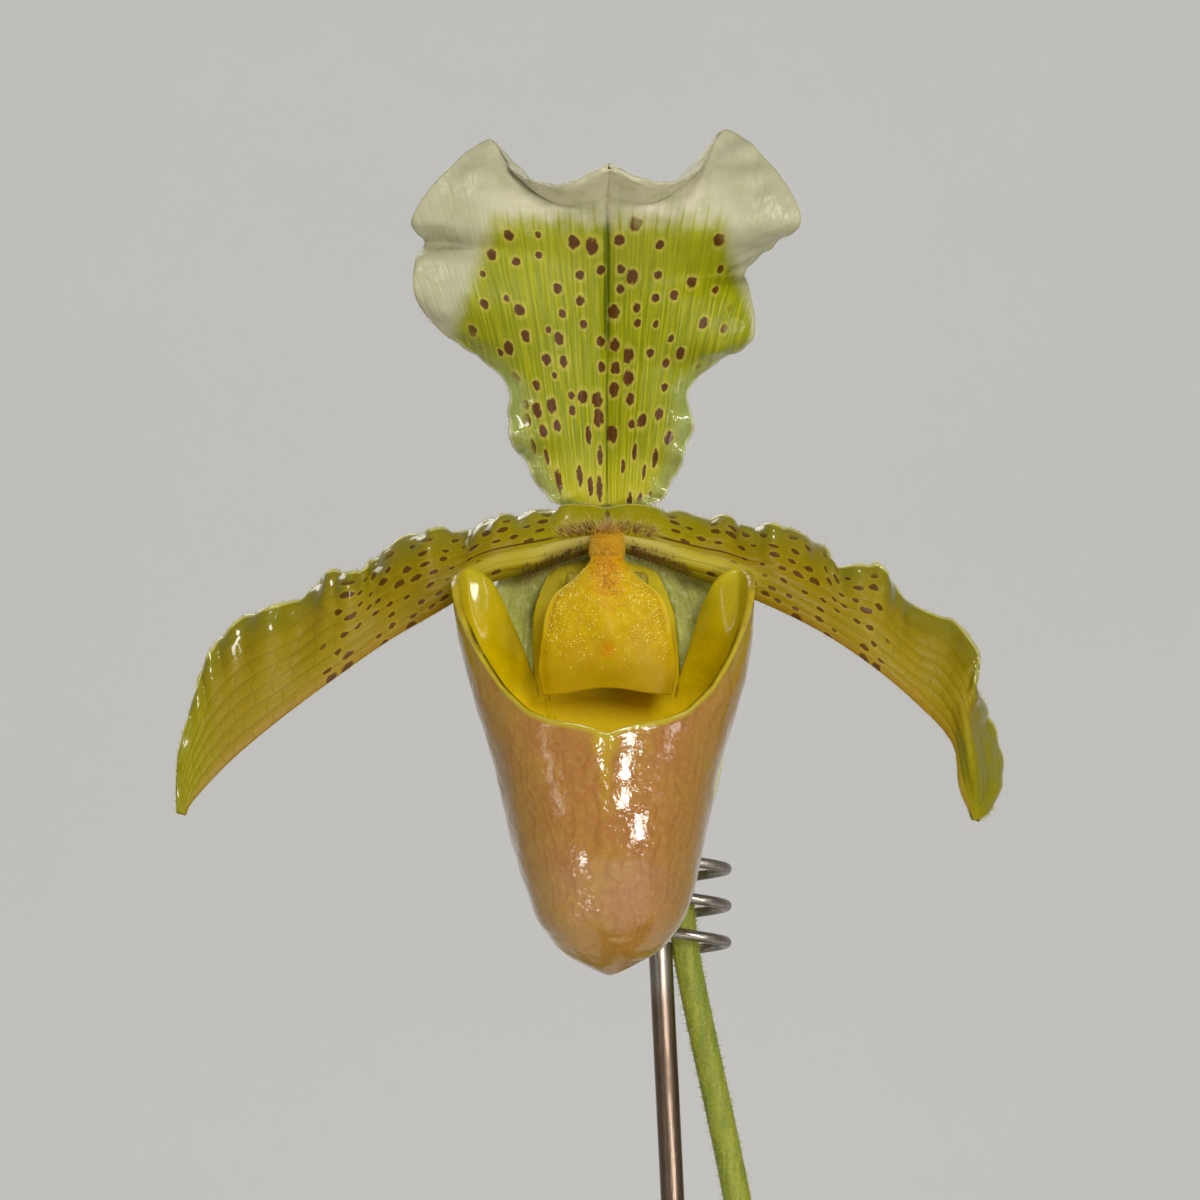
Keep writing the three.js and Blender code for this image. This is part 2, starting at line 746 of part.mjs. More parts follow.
// The column stands forward from the receptacle, carries the shield in front and a round stigma below.
function columnSolid() {
  const path = curveThrough([
    [0, 1.2, -0.9],
    [0, -2.4, -1.7],
    [0, -5.6, -2.8],
    [0, -8.2, -4.2],
  ]);
  const trunk = solidOf(rodAlong(path, 6, 10, (t) => profile([2, 2.1, 2.2, 1.7], t)));
  const disc = new THREE.SphereGeometry(stigma.radius, 12, 7).scale(1, 1.15, 0.42).rotateX(radians(stigma.lean));
  disc.translate(...stigma.place);
  const stalk = new THREE.CylinderGeometry(1.5, 1.8, 5.4, 8).rotateX(Math.PI / 2).translate(0, -4, -4.4);
  return trunk.add(solidOf(stalk)).add(solidOf(disc));
}

function antherGeometry(side) {
  const [x, y, z] = anther.place;
  return new THREE.SphereGeometry(anther.radius, 10, 7).scale(...anther.scale).translate(side * x, y, z);
}

// The shield: a round plate with a straight lower edge, domed forward, with a boss in the middle.
const shield = {
  topZ: -3.4,
  bottomZ: -19.2,
  frontY: -9.05,
  slope: 1.4, // how much further forward the lower edge stands
  halfWidths: [1.7, 3.4, 6.2, 7.2, 7.6, 7.9, 8.1, 7.6],
  dome: 2.6,
  boss: 0.9,
  lift: 0.5, // the lower edge is raised in its middle
  thickness: 1.1,
  rows: 11,
  halfColumns: 5,
};

function staminodeGeometry() {
  const grid = [];
  for (let r = 0; r <= shield.rows; r++) {
    const t = r / shield.rows;
    const half = profile(shield.halfWidths, t);
    const row = [];
    for (let c = -shield.halfColumns; c <= shield.halfColumns; c++) {
      const share = c / shield.halfColumns;
      const dome = shield.dome * (1 - share * share) * Math.sin(Math.PI * Math.min(1, 0.14 + 0.8 * t));
      const boss = shield.boss * bell(share, 0, 0.27) * bell(t, 0.52, 0.16);
      const lift = -shield.lift * Math.cos(share * Math.PI) * smooth(t, 0.82, 1);
      const y = shield.frontY - dome - boss - shield.slope * t;
      row.push(new THREE.Vector3(share * half, y, lerp(shield.topZ, shield.bottomZ, t) - lift));
    }
    grid.push(row);
  }
  return blade(grid, shield.thickness);
}

// Scape and stake, in the part's frame

function scapeCurve() {
  return curveThrough([
    [14, 6, bark.level - leaf.baseDepth + seatGap],
    [14, 6, 102],
    [14, 6, 124],
    [12.2, 5.8, 150],
    [7.6, 5.2, 186],
    [1.4, 4.6, 224],
    [-6.2, 3.8, 264],
    [-12, 3, 292],
    [-13.3, 3, 304],
    [-14.6, 3, 310],
  ]);
}

function scapeGeometry() {
  const radiusAt = (t) => lerp(stem.baseRadius, stem.topRadius, smooth(t, 0, 0.9));
  return rodAlong(scapeCurve(), 26, stem.sides, radiusAt);
}

class CoilCurve extends THREE.Curve {
  getPoint(t, target = new THREE.Vector3()) {
    const turned = t * stake.turns * 2 * Math.PI;
    const angle = Math.PI - turned; // left, then behind, right and in front, climbing all the way
    return target.set(
      stake.coilAxis.x + stake.coilRadius * Math.cos(angle),
      stake.coilAxis.y + stake.coilRadius * Math.sin(angle),
      stake.coilStart + t * stake.turns * stake.pitch,
    );
  }
}

// The straight rod, or the plain hole it stands in when clearance is given
function stakeRodGeometry(clearance = 0) {
  const top = stake.rodTop;
  const radius = stake.rodRadius + clearance;
  const drop = top.z - stake.sunkTo + clearance;
  const foot = new THREE.Vector3(top.x + stake.lean * drop, top.y, top.z - drop);
  const length = foot.distanceTo(top);
  const outline = [
    [0, 0],
    [radius, 0],
    [radius, length - 1],
    [radius * 0.6, length],
    [0, length],
  ].map(([r, z]) => new THREE.Vector2(r, z));
  const direction = top.clone().sub(foot).normalize();
  const upright = new THREE.Quaternion().setFromUnitVectors(new THREE.Vector3(0, 1, 0), direction);
  return new THREE.LatheGeometry(outline, 10).applyQuaternion(upright).translate(foot.x, foot.y, foot.z);
}

function stakeSolid() {
  const coil = rodAlong(new CoilCurve(), 54, 6, () => stake.wireRadius);
  return solidOf(stakeRodGeometry()).add(solidOf(coil));
}

// Plain round hole in the bark for a fan's outermost leaf bases
function fanHole(fan) {
  const radius = leafRadius(fan, 0) + leaf.thickness / 2 + 0.35;
  const hole = new THREE.CylinderGeometry(radius + 3, radius, 40, 24).rotateX(Math.PI / 2);
  return solidOf(hole.translate(fan.x, fan.y, bark.level - leaf.baseDepth + 20));
}

function leafRadius(fan, index) {
  const step = leaf.thickness + 0.6;
  return fan.innerRadius + leaf.thickness / 2 + step * (fan.leaves.length - 1 - index);
}

// Assembly

const group = new THREE.Group();
const flower = new THREE.Group();
flower.position.copy(flowerCentre);
group.add(flower);

const finishes = {
  clay: { color: 0xb4684a, roughness: 0.85, metalness: 0 },
  barkChips: { color: 0x5d3d27, roughness: 0.9, metalness: 0 },
  leafGreen: { color: 0x3f6b2a, roughness: 0.45, metalness: 0 },
  stemGreen: { color: 0x8a9a2e, roughness: 0.7, metalness: 0 },
  steel: { color: 0x7d6d62, roughness: 0.35, metalness: 0.9 },
  sepalGreen: { color: 0xb4c12a, roughness: 0.5, metalness: 0 },
  paleGreen: { color: 0xa4b46a, roughness: 0.6, metalness: 0 },
  petalOlive: { color: 0xaa9b1c, roughness: 0.4, metalness: 0 },
  lipTan: { color: 0xb3863f, roughness: 0.35, metalness: 0 },
  columnOrange: { color: 0xd8940f, roughness: 0.55, metalness: 0 },
  shieldYellow: { color: 0xd9b30c, roughness: 0.45, metalness: 0 },
};

function addPiece(parent, name, geometry, finish) {
  const mesh = new THREE.Mesh(geometry, new THREE.MeshStandardMaterial(finishes[finish]));
  mesh.name = name;
  parent.add(mesh);
}

const seat = receptacleSolid(seatGap);
const seated = (geometry) => geometryFromSolid(largestBody(solidOf(geometry).subtract(seat)));

addPiece(group, "pot", geometryFromSolid(potSolid()), "clay");
const holes = [...fans.map(fanHole), solidOf(stakeRodGeometry(seatGap))];
addPiece(group, "bark", geometryFromSolid(barkSolid(holes)), "barkChips");
for (const fan of fans) {
  fan.leaves.forEach((shape, i) => {
    addPiece(group, `${fan.name}_leaf${i + 1}`, leafGeometry(fan, shape, leafRadius(fan, i)), "leafGreen");
  });
}
addPiece(group, "scape", scapeGeometry(), "stemGreen");
addPiece(group, "stake", geometryFromSolid(stakeSolid()), "steel");
addPiece(flower, "ovary", geometryFromSolid(ovarySolid()), "stemGreen");
addPiece(flower, "bract", bractGeometry(), "paleGreen");
addPiece(flower, "dorsal_sepal", seated(dorsalSepalGeometry()), "sepalGreen");
addPiece(flower, "synsepal", seated(synsepalGeometry()), "paleGreen");
addPiece(flower, "petal_left", seated(leftPetalGeometry()), "petalOlive");
addPiece(flower, "petal_right", seated(rightPetalGeometry()), "petalOlive");
addPiece(flower, "lip", seated(lipGeometry()), "lipTan");
addPiece(flower, "column", geometryFromSolid(columnSolid()), "columnOrange");
addPiece(flower, "staminode", staminodeGeometry(), "shieldYellow");
addPiece(flower, "anther_left", antherGeometry(-1), "shieldYellow");
addPiece(flower, "anther_right", antherGeometry(1), "shieldYellow");

export default group;
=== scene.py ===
import math

import bpy
import numpy as np
from mathutils import Matrix, Vector
from mathutils.bvhtree import BVHTree


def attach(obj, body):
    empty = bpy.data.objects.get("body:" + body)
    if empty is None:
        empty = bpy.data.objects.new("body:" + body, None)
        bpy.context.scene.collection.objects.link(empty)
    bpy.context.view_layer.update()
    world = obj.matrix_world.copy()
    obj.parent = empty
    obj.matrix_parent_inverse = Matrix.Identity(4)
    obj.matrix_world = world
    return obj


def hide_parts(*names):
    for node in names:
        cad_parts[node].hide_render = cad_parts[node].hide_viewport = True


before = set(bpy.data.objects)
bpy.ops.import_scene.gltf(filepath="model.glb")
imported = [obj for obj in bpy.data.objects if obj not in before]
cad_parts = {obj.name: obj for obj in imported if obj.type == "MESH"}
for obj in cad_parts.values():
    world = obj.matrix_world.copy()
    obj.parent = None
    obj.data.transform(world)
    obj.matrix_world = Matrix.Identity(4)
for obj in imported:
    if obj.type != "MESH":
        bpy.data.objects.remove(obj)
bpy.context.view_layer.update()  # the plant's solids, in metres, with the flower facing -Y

# A slipper orchid in flower in a clay pot. Lengths are millimetres until they are placed.
mm = 0.001
fullTurn = 2 * math.pi
plantFoot = np.zeros(3)
flowerCentre = np.array([-22.0, -8.0, 345.0])  # where sepals, petals and lip meet
barkLevel = 93
leastBody = 0.35  # thickness that a sheet keeps where its body is 0


# Numbers and curves

def lerp(a, b, share):
    return a + (b - a) * share


def smooth(x, low, high):
    s = np.clip((x - low) / (high - low), 0, 1)
    return s * s * (3 - 2 * s)


def bell(x, middle, width):
    return np.exp(-(((x - middle) / width) ** 2))


def unit(vectors):
    size = np.linalg.norm(vectors, axis=-1, keepdims=True)
    return vectors / np.maximum(size, 1e-9)


def through(points, t, level=False):  # a smooth curve through evenly timed points; level flattens its ends
    p = np.array(points, float)
    first, last = (p[0], p[-1]) if level else (2 * p[0] - p[1], 2 * p[-1] - p[-2])
    p = np.concatenate([[first], p, [last]])
    place = np.clip(np.asarray(t, float), 0, 1) * (len(points) - 1)
    i = np.minimum(place.astype(int), len(points) - 2)
    f = place - i
    if p.ndim > 1:
        f = f[..., None]
    a, b, c, d = p[i], p[i + 1], p[i + 2], p[i + 3]
    return b + f * ((c - a) / 2 + f * ((2 * a - 5 * b + 4 * c - d) / 2 + f * (3 * (b - c) + d - a) / 2))


def ruffled(points, spread):  # a wavy edge as two curves: its smooth run, and the waves on it
    fine = np.linspace(0, 1, 401)
    line = through(points, fine)
    reach = int(3 * spread * 400)
    before = 2 * line[0] - line[reach:0:-1]
    after = 2 * line[-1] - line[-2 : -reach - 2 : -1]
    padded = np.concatenate([before, line, after])
    weights = np.exp(-(np.linspace(-3, 3, 2 * reach + 1) ** 2) / 2)
    calm = np.stack([np.convolve(padded[:, k], weights / weights.sum(), "valid") for k in range(3)], 1)

    def run(t):
        return np.stack([np.interp(t, fine, calm[:, k]) for k in range(3)], -1)

    return run, lambda t: through(points, t) - run(t)


def crinkle(points, size, seed):  # a soft uneven height with bumps about as wide as size
    random = np.random.default_rng(seed)
    total = 0
    for _ in range(7):
        way = unit(random.normal(size=3)) / (size * random.uniform(0.7, 1.5))
        total = total + np.sin(points @ way * fullTurn + random.uniform(0, fullTurn))
    return total / 2.6


# Meshes

def alone(piece):
    bpy.ops.object.select_all(action="DESELECT")
    piece.select_set(True)
    bpy.context.view_layer.objects.active = piece


def newest(name):  # names what an operator has just added
    piece = bpy.context.object
    piece.name = piece.data.name = name
    return piece


def edited(piece, *steps):  # runs each step in edit mode with the whole mesh selected
    alone(piece)
    bpy.ops.object.mode_set(mode="EDIT")
    for step in steps:
        bpy.ops.mesh.select_all(action="SELECT")
        step()
    bpy.ops.object.mode_set(mode="OBJECT")
    return piece


def applied(piece, kind, **settings):
    alone(piece)
    modifier = piece.modifiers.new(kind.lower(), kind)
    for key, value in settings.items():
        setattr(modifier, key, value)
    bpy.ops.object.modifier_apply(modifier=modifier.name)
    return piece


def settled(piece):  # moves the object's place into its mesh
    alone(piece)
    bpy.ops.object.transform_apply(location=True, rotation=True, scale=True)
    return piece


def joined(name, pieces):
    alone(pieces[0])
    for piece in pieces[1:]:
        piece.select_set(True)
    bpy.ops.object.join()
    return newest(name)


def readPoints(piece):
    flat = np.empty(len(piece.data.vertices) * 3)
    piece.data.vertices.foreach_get("co", flat)
    return flat.reshape(-1, 3)


def writePoints(piece, points):
    piece.data.vertices.foreach_set("co", np.ascontiguousarray(points, np.float32).ravel())
    piece.data.update()


def writePlan(piece, plan):  # the UV map "plan", from one pair of values for each point
    corners = np.empty(len(piece.data.loops), int)
    piece.data.loops.foreach_get("vertex_index", corners)
    layers = piece.data.uv_layers
    layer = layers[0] if layers else layers.new()
    layer.name = "plan"
    layer.data.foreach_set("uv", np.ascontiguousarray(plan[corners], np.float32).ravel())


def faceOut(piece, facing):  # facing is a direction, or None for a body whose faces point away from its middle
    count = len(piece.data.polygons)
    normals, centres, areas = np.empty(count * 3), np.empty(count * 3), np.empty(count)
    piece.data.polygons.foreach_get("normal", normals)
    piece.data.polygons.foreach_get("center", centres)
    piece.data.polygons.foreach_get("area", areas)
    normals, centres = normals.reshape(-1, 3), centres.reshape(-1, 3)
    ways = centres - centres.mean(0) if facing is None else np.array(facing)
    if ((normals * ways).sum(1) * areas).sum() < 0:
        edited(piece, bpy.ops.mesh.flip_normals)
    return piece


def frameAt(surface, side, t, closed=False, step=0.002):  # a surface's place, normal and two tangents
    low, high = (side - step, side + step) if closed else np.clip([side - step, side + step], -1, 1)
    across = surface(high, t) - surface(low, t)
    along = surface(side, np.clip(t + step, 0, 1)) - surface(side, np.clip(t - step, 0, 1))
    return surface(side, t), unit(np.cross(across, along)), unit(across), unit(along)


# A fine sheet laid on surface(side, t), with side from -1 to 1 and t from 0 to 1, raised by relief.
# Its two faces lie closer together where body is under 1.
def sheet(name, grid, surface, origin, plan=None, relief=None, facing=(0, -1, 0), closed=False, body=None):
    bpy.ops.object.select_all(action="DESELECT")
    bpy.ops.mesh.primitive_grid_add(x_subdivisions=grid[0], y_subdivisions=grid[1], size=2)
    piece = newest(name)
    flat = readPoints(piece)
    side, t = flat[:, 0], (flat[:, 1] + 1) / 2
    points, normal, _, _ = frameAt(surface, side, t, closed)
    if relief:
        ways = points - points.mean(0) if facing is None else np.array(facing)
        outward = 1 if (normal * ways).sum() > 0 else -1
        points = points + normal * (outward * relief(side, t, points))[:, None]
    writePoints(piece, (points + origin) * mm)
    writePlan(piece, plan(side, t) if plan else np.stack([(side + 1) / 2, t], 1))
    if body:
        group = piece.vertex_groups.new(name="body")
        levels = np.round(body(side, t) * 20).astype(int)
        for level in range(21):
            group.add(np.nonzero(levels == level)[0].tolist(), level / 20, "REPLACE")
    edited(piece, lambda: bpy.ops.mesh.remove_doubles(threshold=0.01 * mm))
    bpy.ops.object.shade_smooth()
    return faceOut(piece, facing)


def thinEdged(start, loss):  # a body that thins from this share of the half width out to both margins
    return lambda side, t: 1 - smooth(np.abs(side), start, 1) * loss


def thicken(piece, thickness, finishes, offset=0):  # finishes are for the front, the back and the rim
    for finish in finishes:
        piece.data.materials.append(finish)
    last = len(finishes) - 1
    thinnest = {"vertex_group": "body", "thickness_vertex_group": leastBody} if piece.vertex_groups else {}
    return applied(
        piece, "SOLIDIFY", thickness=thickness * mm, offset=offset, use_quality_normals=True,
        material_offset=min(1, last), material_offset_rim=last if last > 1 else 0, **thinnest,
    )


def tube(path, radiusAt, ends=(0.0, 0.0), samples=240):  # a round body's surface along a curve of points
    fine = np.linspace(0, 1, samples)
    rough = through(path, np.linspace(0, 1, 2000))
    travel = np.concatenate([[0], np.cumsum(np.linalg.norm(np.diff(rough, axis=0), axis=1))])
    line = np.stack([np.interp(fine * travel[-1], travel, rough[:, k]) for k in range(3)], 1)
    tangents = unit(np.gradient(line, axis=0))
    normal = unit(np.cross(tangents[0], [0.3, 1, 0.2]))
    normals = []
    for tangent in tangents:
        normal = unit(normal - tangent * (normal @ tangent))
        normals.append(normal)
    binormals = np.cross(tangents, normals)

    def at(values, t):
        return np.stack([np.interp(t, fine, np.array(values)[:, k]) for k in range(3)], -1)

    def surface(side, t):
        angle = side * math.pi
        radius = radiusAt(t, angle)
        for end, reach in ((t, ends[0]), (1 - t, ends[1])):
            if reach:
                radius = radius * np.sqrt(np.maximum(1 - np.clip(1 - end / reach, 0, 1) ** 2, 0))
        spoke = at(normals, t) * np.cos(angle)[:, None] + at(binormals, t) * np.sin(angle)[:, None]
        return at(line, t) + spoke * radius[:, None]

    return surface


def gathered(name, shape, placed):  # one mesh of many copies of shape, whose points are given for each copy
    count, size = len(placed), len(shape.data.vertices)
    faces = [list(face.vertices) for face in shape.data.polygons]
    plan = np.empty(len(shape.data.loops) * 2)
    shape.data.uv_layers[0].data.foreach_get("uv", plan)
    mesh = bpy.data.meshes.new(name)
    every = [[v + size * k for v in face] for k in range(count) for face in faces]
    mesh.from_pydata(placed.reshape(-1, 3).tolist(), [], every)
    mesh.uv_layers.new(name="plan").data.foreach_set("uv", np.tile(plan, count).astype(np.float32))
    mesh.polygons.foreach_set("use_smooth", [True] * len(every))
    piece = bpy.data.objects.new(name, mesh)
    bpy.context.scene.collection.objects.link(piece)
    return piece


def hairShape(rings):  # a three-sided hair of length and radius 1, root at the origin
    bpy.ops.object.select_all(action="DESELECT")
    bpy.ops.mesh.primitive_cone_add(
        vertices=3, radius1=1, radius2=0, depth=1, end_fill_type="NOTHING", location=(0, 0, 0.5)
    )
    hair = settled(newest("hair_shape"))
    cuts = [
        lambda z=k / rings: bpy.ops.mesh.bisect(plane_co=(0, 0, z), plane_no=(0, 0, 1)) for k in range(1, rings)
    ]
    edited(hair, *cuts)
    points = readPoints(hair)
    writePlan(hair, np.stack([(points[:, 0] + 1) / 2, points[:, 2]], 1))
    return hair


# Grows a hair at each root, in the direction of its way, and bends it towards its bend.
def hairs(name, shape, origin, roots, ways, lengths, width, bends):
    form = readPoints(shape)
    ways = unit(ways)
    first = unit(np.cross(ways, [0.31, 0.52, 0.79]))
    second = np.cross(ways, first)
    rise = form[None, :, 2, None] * lengths[:, None, None]
    spread = form[None, :, 0, None] * first[:, None] + form[None, :, 1, None] * second[:, None]
    bow = bends[:, None] * form[None, :, 2, None] ** 2 * lengths[:, None, None]
    placed = roots[:, None] + ways[:, None] * rise + spread * width + bow
    return gathered(name, shape, (placed + origin) * mm)


def dressed(piece, finish=None, node=None):  # fixes the piece to the plant, with one finish if given
    if finish:
        piece.data.materials.clear()
        piece.data.materials.append(finish)
    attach(piece, "root")
    if node:
        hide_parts(node)
    return piece


# Shaders

class Wire:  # one socket of a shader, which can stand in a sum
    def __init__(self, finish, socket):
        self.finish = finish
        self.socket = socket

    def maths(self, operation, *values):
        return self.finish.node("ShaderNodeMath", {"operation": operation}, values)

    def __add__(self, other):
        return self.maths("ADD", self, other)

    def __sub__(self, other):
        return self.maths("SUBTRACT", self, other)

    def __rsub__(self, other):
        return self.maths("SUBTRACT", other, self)

    def __mul__(self, other):
        return self.maths("MULTIPLY", self, other)

    def __truediv__(self, other):
        return self.maths("DIVIDE", self, other)

    __radd__ = __add__
    __rmul__ = __mul__

    def size(self):
        return self.maths("ABSOLUTE", self)

    def floor(self):
        return self.maths("FLOOR", self)

    def part(self):  # what is left after the whole number
        return self.maths("FRACT", self)

    def most(self, other):
        return self.maths("MAXIMUM", self, other)

    def between(self, low, high):  # 0 below low, 1 above high, smooth between; low above high turns it round
        if low > high:
            return 1 - self.between(high, low)
        settings = {"interpolation_type": "SMOOTHSTEP"}
        return self.finish.node("ShaderNodeMapRange", settings, [self, low, high])

    def stripes(self, low, high):  # lines where the value is whole
        return ((self.part() - 0.5).size() * 2).between(low, high)

    def also(self, name):  # another output of the same node
        return Wire(self.finish, self.socket.node.outputs[name])


def paint(red, green, blue):  # a colour as a picture shows it, 0 to 255, for a shader
    def straight(value):
        c = value / 255
        return c / 12.92 if c <= 0.04045 else ((c + 0.055) / 1.055) ** 2.4

    return (straight(red), straight(green), straight(blue), 1)


class Finish:  # a material under way
    def __init__(self, name):
        self.material = bpy.data.materials.new(name)
        self.material.use_nodes = True
        self.tree = self.material.node_tree
        self.tree.nodes.clear()

    def node(self, kind, settings=None, values=(), output=0):
        made = self.tree.nodes.new(kind)
        for key, value in (settings or {}).items():
            setattr(made, key, value)
        pairs = values.items() if isinstance(values, dict) else enumerate(values)
        for key, value in pairs:
            if isinstance(value, Wire):
                self.tree.links.new(value.socket, made.inputs[key])
            else:
                made.inputs[key].default_value = value
        return None if output is None else Wire(self, made.outputs[output])

    def places(self, origin=plantFoot):  # x, y and z in millimetres from a point of the plant
        spot = self.node("ShaderNodeTexCoord", output="Object")
        moved = self.node(
            "ShaderNodeMapping", {}, {"Vector": spot, "Location": tuple(-origin), "Scale": (1000, 1000, 1000)}
        )
        x = self.node("ShaderNodeSeparateXYZ", {}, [moved])
        return x, x.also("Y"), x.also("Z")

    def plan(self):  # the piece's own UV map
        u = self.node("ShaderNodeSeparateXYZ", {}, [self.node("ShaderNodeUVMap", {"uv_map": "plan"})])
        return u, u.also("Y")

    def vector(self, x, y, z=0.0):
        return self.node("ShaderNodeCombineXYZ", {}, [x, y, z])

    def noise(self, spot, scale=1.0, detail=2.0, roughness=0.5):
        values = {"Vector": self.vector(*spot), "Scale": scale, "Detail": detail, "Roughness": roughness}
        return self.node("ShaderNodeTexNoise", {}, values)

    def dots(self, spot, scale):  # distance from the nearest of many scattered points
        values = {"Vector": self.vector(*spot), "Scale": scale, "Randomness": 1.0}
        return self.node("ShaderNodeTexVoronoi", {}, values)

    def chance(self, value):  # one random number for each value
        return self.node("ShaderNodeTexWhiteNoise", {"noise_dimensions": "1D"}, {"W": value})

    def mix(self, mask, below, above):  # each colour is a wire, or red, green and blue as paint takes them
        below, above = [colour if isinstance(colour, Wire) else paint(*colour) for colour in (below, above)]
        return self.node("ShaderNodeMix", {"data_type": "RGBA"}, {0: mask, 6: below, 7: above}, 2)

    def bump(self, height, depth):  # depth in millimetres for a height of 1
        return self.node("ShaderNodeBump", {}, {"Height": height, "Distance": depth * mm, "Strength": 1.0})

    def surface(self, values):
        shader = self.node("ShaderNodeBsdfPrincipled", {}, values)
        self.node("ShaderNodeOutputMaterial", {}, {"Surface": shader}, None)
        return self.material


# Marks on the lines of a lane pattern, at most one in each cell, where lane is whole on a line, and their halo.
def speckles(f, lane, along, facts, grow=1.0):
    line = (lane + 0.5).floor()
    aside = (lane - line) * facts["laneWidth"]
    start = f.chance(line * 1.7 + facts["seed"])
    run = along / facts["pitch"] + start * 5
    cell = run.floor()
    draw = f.node("ShaderNodeTexWhiteNoise", {"noise_dimensions": "2D"}, [f.vector(line + facts["seed"], cell)], 1)
    red = f.node("ShaderNodeSeparateColor", {}, [draw])
    green, blue = red.also("Green"), red.also("Blue")
    big = (0.6 + 0.55 * blue) * grow
    forward = (run - cell - 0.5 - (green - 0.5) * 0.45) * facts["pitch"] / (big * facts["halfLength"])
    sideways = (aside + (blue - 0.5) * facts["stray"]) / (big * facts["halfWidth"])
    rough = f.noise((lane * facts["laneWidth"], along), 0.8 / facts["halfWidth"], 2) * 1.7
    far = forward * forward + sideways * sideways + rough
    low, high = facts["span"]  # only marks whose middle lies in this span of along are kept
    middle = (cell - start * 5 + 0.5) * facts["pitch"]
    kept = red.between(facts["chance"] + 0.01, facts["chance"] - 0.01)
    kept = kept * middle.between(low, low + 0.01) * middle.between(high, high - 0.01)
    return far.between(1.9, 1.4) * kept, far.between(3.8, 1.8) * kept


def softFlesh(weight, reach):  # light that goes a little way into a petal
    return {
        "Subsurface Weight": weight, "Subsurface Scale": reach * mm, "Subsurface Radius": (1.0, 0.8, 0.3)
    }


# Dorsal sepal: a hooded sheet between its midrib and two waved edges

sepalFacts = {
    "grid": (150, 170),
    "thickness": 0.8,
    "thinEdge": (0.75, 0.8),
    "calm": 0.06,  # share of an edge that is evened out at once, for its smooth run
    "bow": 2.4,  # how far each half swells forward
    "sag": 3,  # how far each half hangs under the hood
    "veins": 9.5,  # lines on each side of the midrib
    "veinHeight": 0.09,
    "grooveDepth": 0.5,  # along the midrib
    "lobes": {  # the small lobes low on both margins
        "pitch": 3.4, "out": 0.42, "forward": 0.8, "top": 17, "edgeLength": 53,
    },
    "spots": {
        "laneWidth": 2.4, "pitch": 3.0, "halfLength": 0.7, "halfWidth": 0.6, "stray": 1.3, "chance": 0.68, "seed": 4,
        "span": (11, 36.5),
    },
    "streaks": {
        "laneWidth": 1.6, "pitch": 5.2, "halfLength": 1.5, "halfWidth": 0.5, "stray": 0.5, "chance": 0.8, "seed": 9,
        "span": (2.5, 11),
    },
    "midrib": [
        [0, 3.4, 3], [0, 4.6, 10], [0, 5.6, 17], [0, 6, 24], [0, 5, 31], [0, 2.2, 37], [0.1, -2.6, 41],
        [0.3, -7.8, 43.3],
    ],
    "right": [
        [2.4, 3.5, 2.8], [6.4, 3, 3.6], [8.7, 4.4, 7.4], [10.4, 2.6, 12.4], [9.9, 5.2, 17.2], [13.4, 7.4, 20.6],
        [17.7, 3.6, 23.2], [17.4, 4.4, 28.6], [16.9, 9.6, 31.8], [20.2, 5.4, 34.8], [23.4, 0.4, 37.6],
        [19.6, 3.6, 44.6], [14.3, 8.2, 48.8], [10.9, 1.8, 43.6], [6.4, -4.8, 41.6], [0.9, -7.9, 43.1],
    ],
    "left": [
        [-2.4, 3.5, 2.8], [-6.8, 3, 3.6], [-9.4, 4.6, 7.4], [-12, 2.4, 12], [-11.9, 5, 17.2], [-15.4, 7, 21],
        [-20.6, 5.2, 24.6], [-23.2, 2.2, 28.6], [-23.1, 3.4, 32.8], [-22, 6.6, 35.2], [-23.6, 3, 37.6],
        [-19.8, 3.4, 43.2], [-14.3, 7.4, 47.6], [-11.1, 2.2, 43.4], [-6, -4.4, 41.2], [-0.4, -7.9, 43.1],
    ],
    "colours": {
        "deepGreen": (122, 128, 0), "paleGreen": (156, 154, 6), "shade": (112, 120, 0), "vein": (96, 110, 0),
        "foot": (188, 178, 24), "head": (158, 158, 36), "groove": (74, 88, 4), "paleGlass": (150, 158, 92),
        "deepGlass": (132, 142, 70), "ivory": (196, 191, 162), "cream": (178, 176, 140), "wing": (162, 160, 128),
        "halo": (206, 186, 90), "darkSpot": (58, 22, 4), "warmSpot": (92, 38, 10),
    },
}


def sepalSurface():
    facts = sepalFacts
    edges = [ruffled(facts[hand], facts["calm"]) for hand in ("left", "right")]

    def surface(side, t):
        share = np.abs(side)[:, None]
        middle = through(facts["midrib"], t)
        isLeft = (side < 0)[:, None]
        run = np.where(isLeft, edges[0][0](t), edges[1][0](t))
        wave = np.where(isLeft, edges[0][1](t), edges[1][1](t))
        point = middle + (run - middle) * share + wave * share**1.8
        bow = np.sin(math.pi * share[:, 0])
        point[:, 1] -= facts["bow"] * bow * np.sin(math.pi * np.minimum(t * 1.15, 1))
        point[:, 2] -= facts["sag"] * bow * bell(t, 0.83, 0.1)
        lobes = facts["lobes"]
        turnAt = t * lobes["edgeLength"] / lobes["pitch"] * math.pi + side
        weight = share[:, 0] ** 4 * smooth(point[:, 2], 2.8, 4.5) * smooth(point[:, 2], lobes["top"], lobes["top"] - 4)
        point[:, 0] += np.sign(side) * lobes["out"] * (np.abs(np.sin(turnAt)) - 0.75) * weight
        point[:, 1] += lobes["forward"] * np.sin(turnAt * 2) * weight
        return point

    return surface


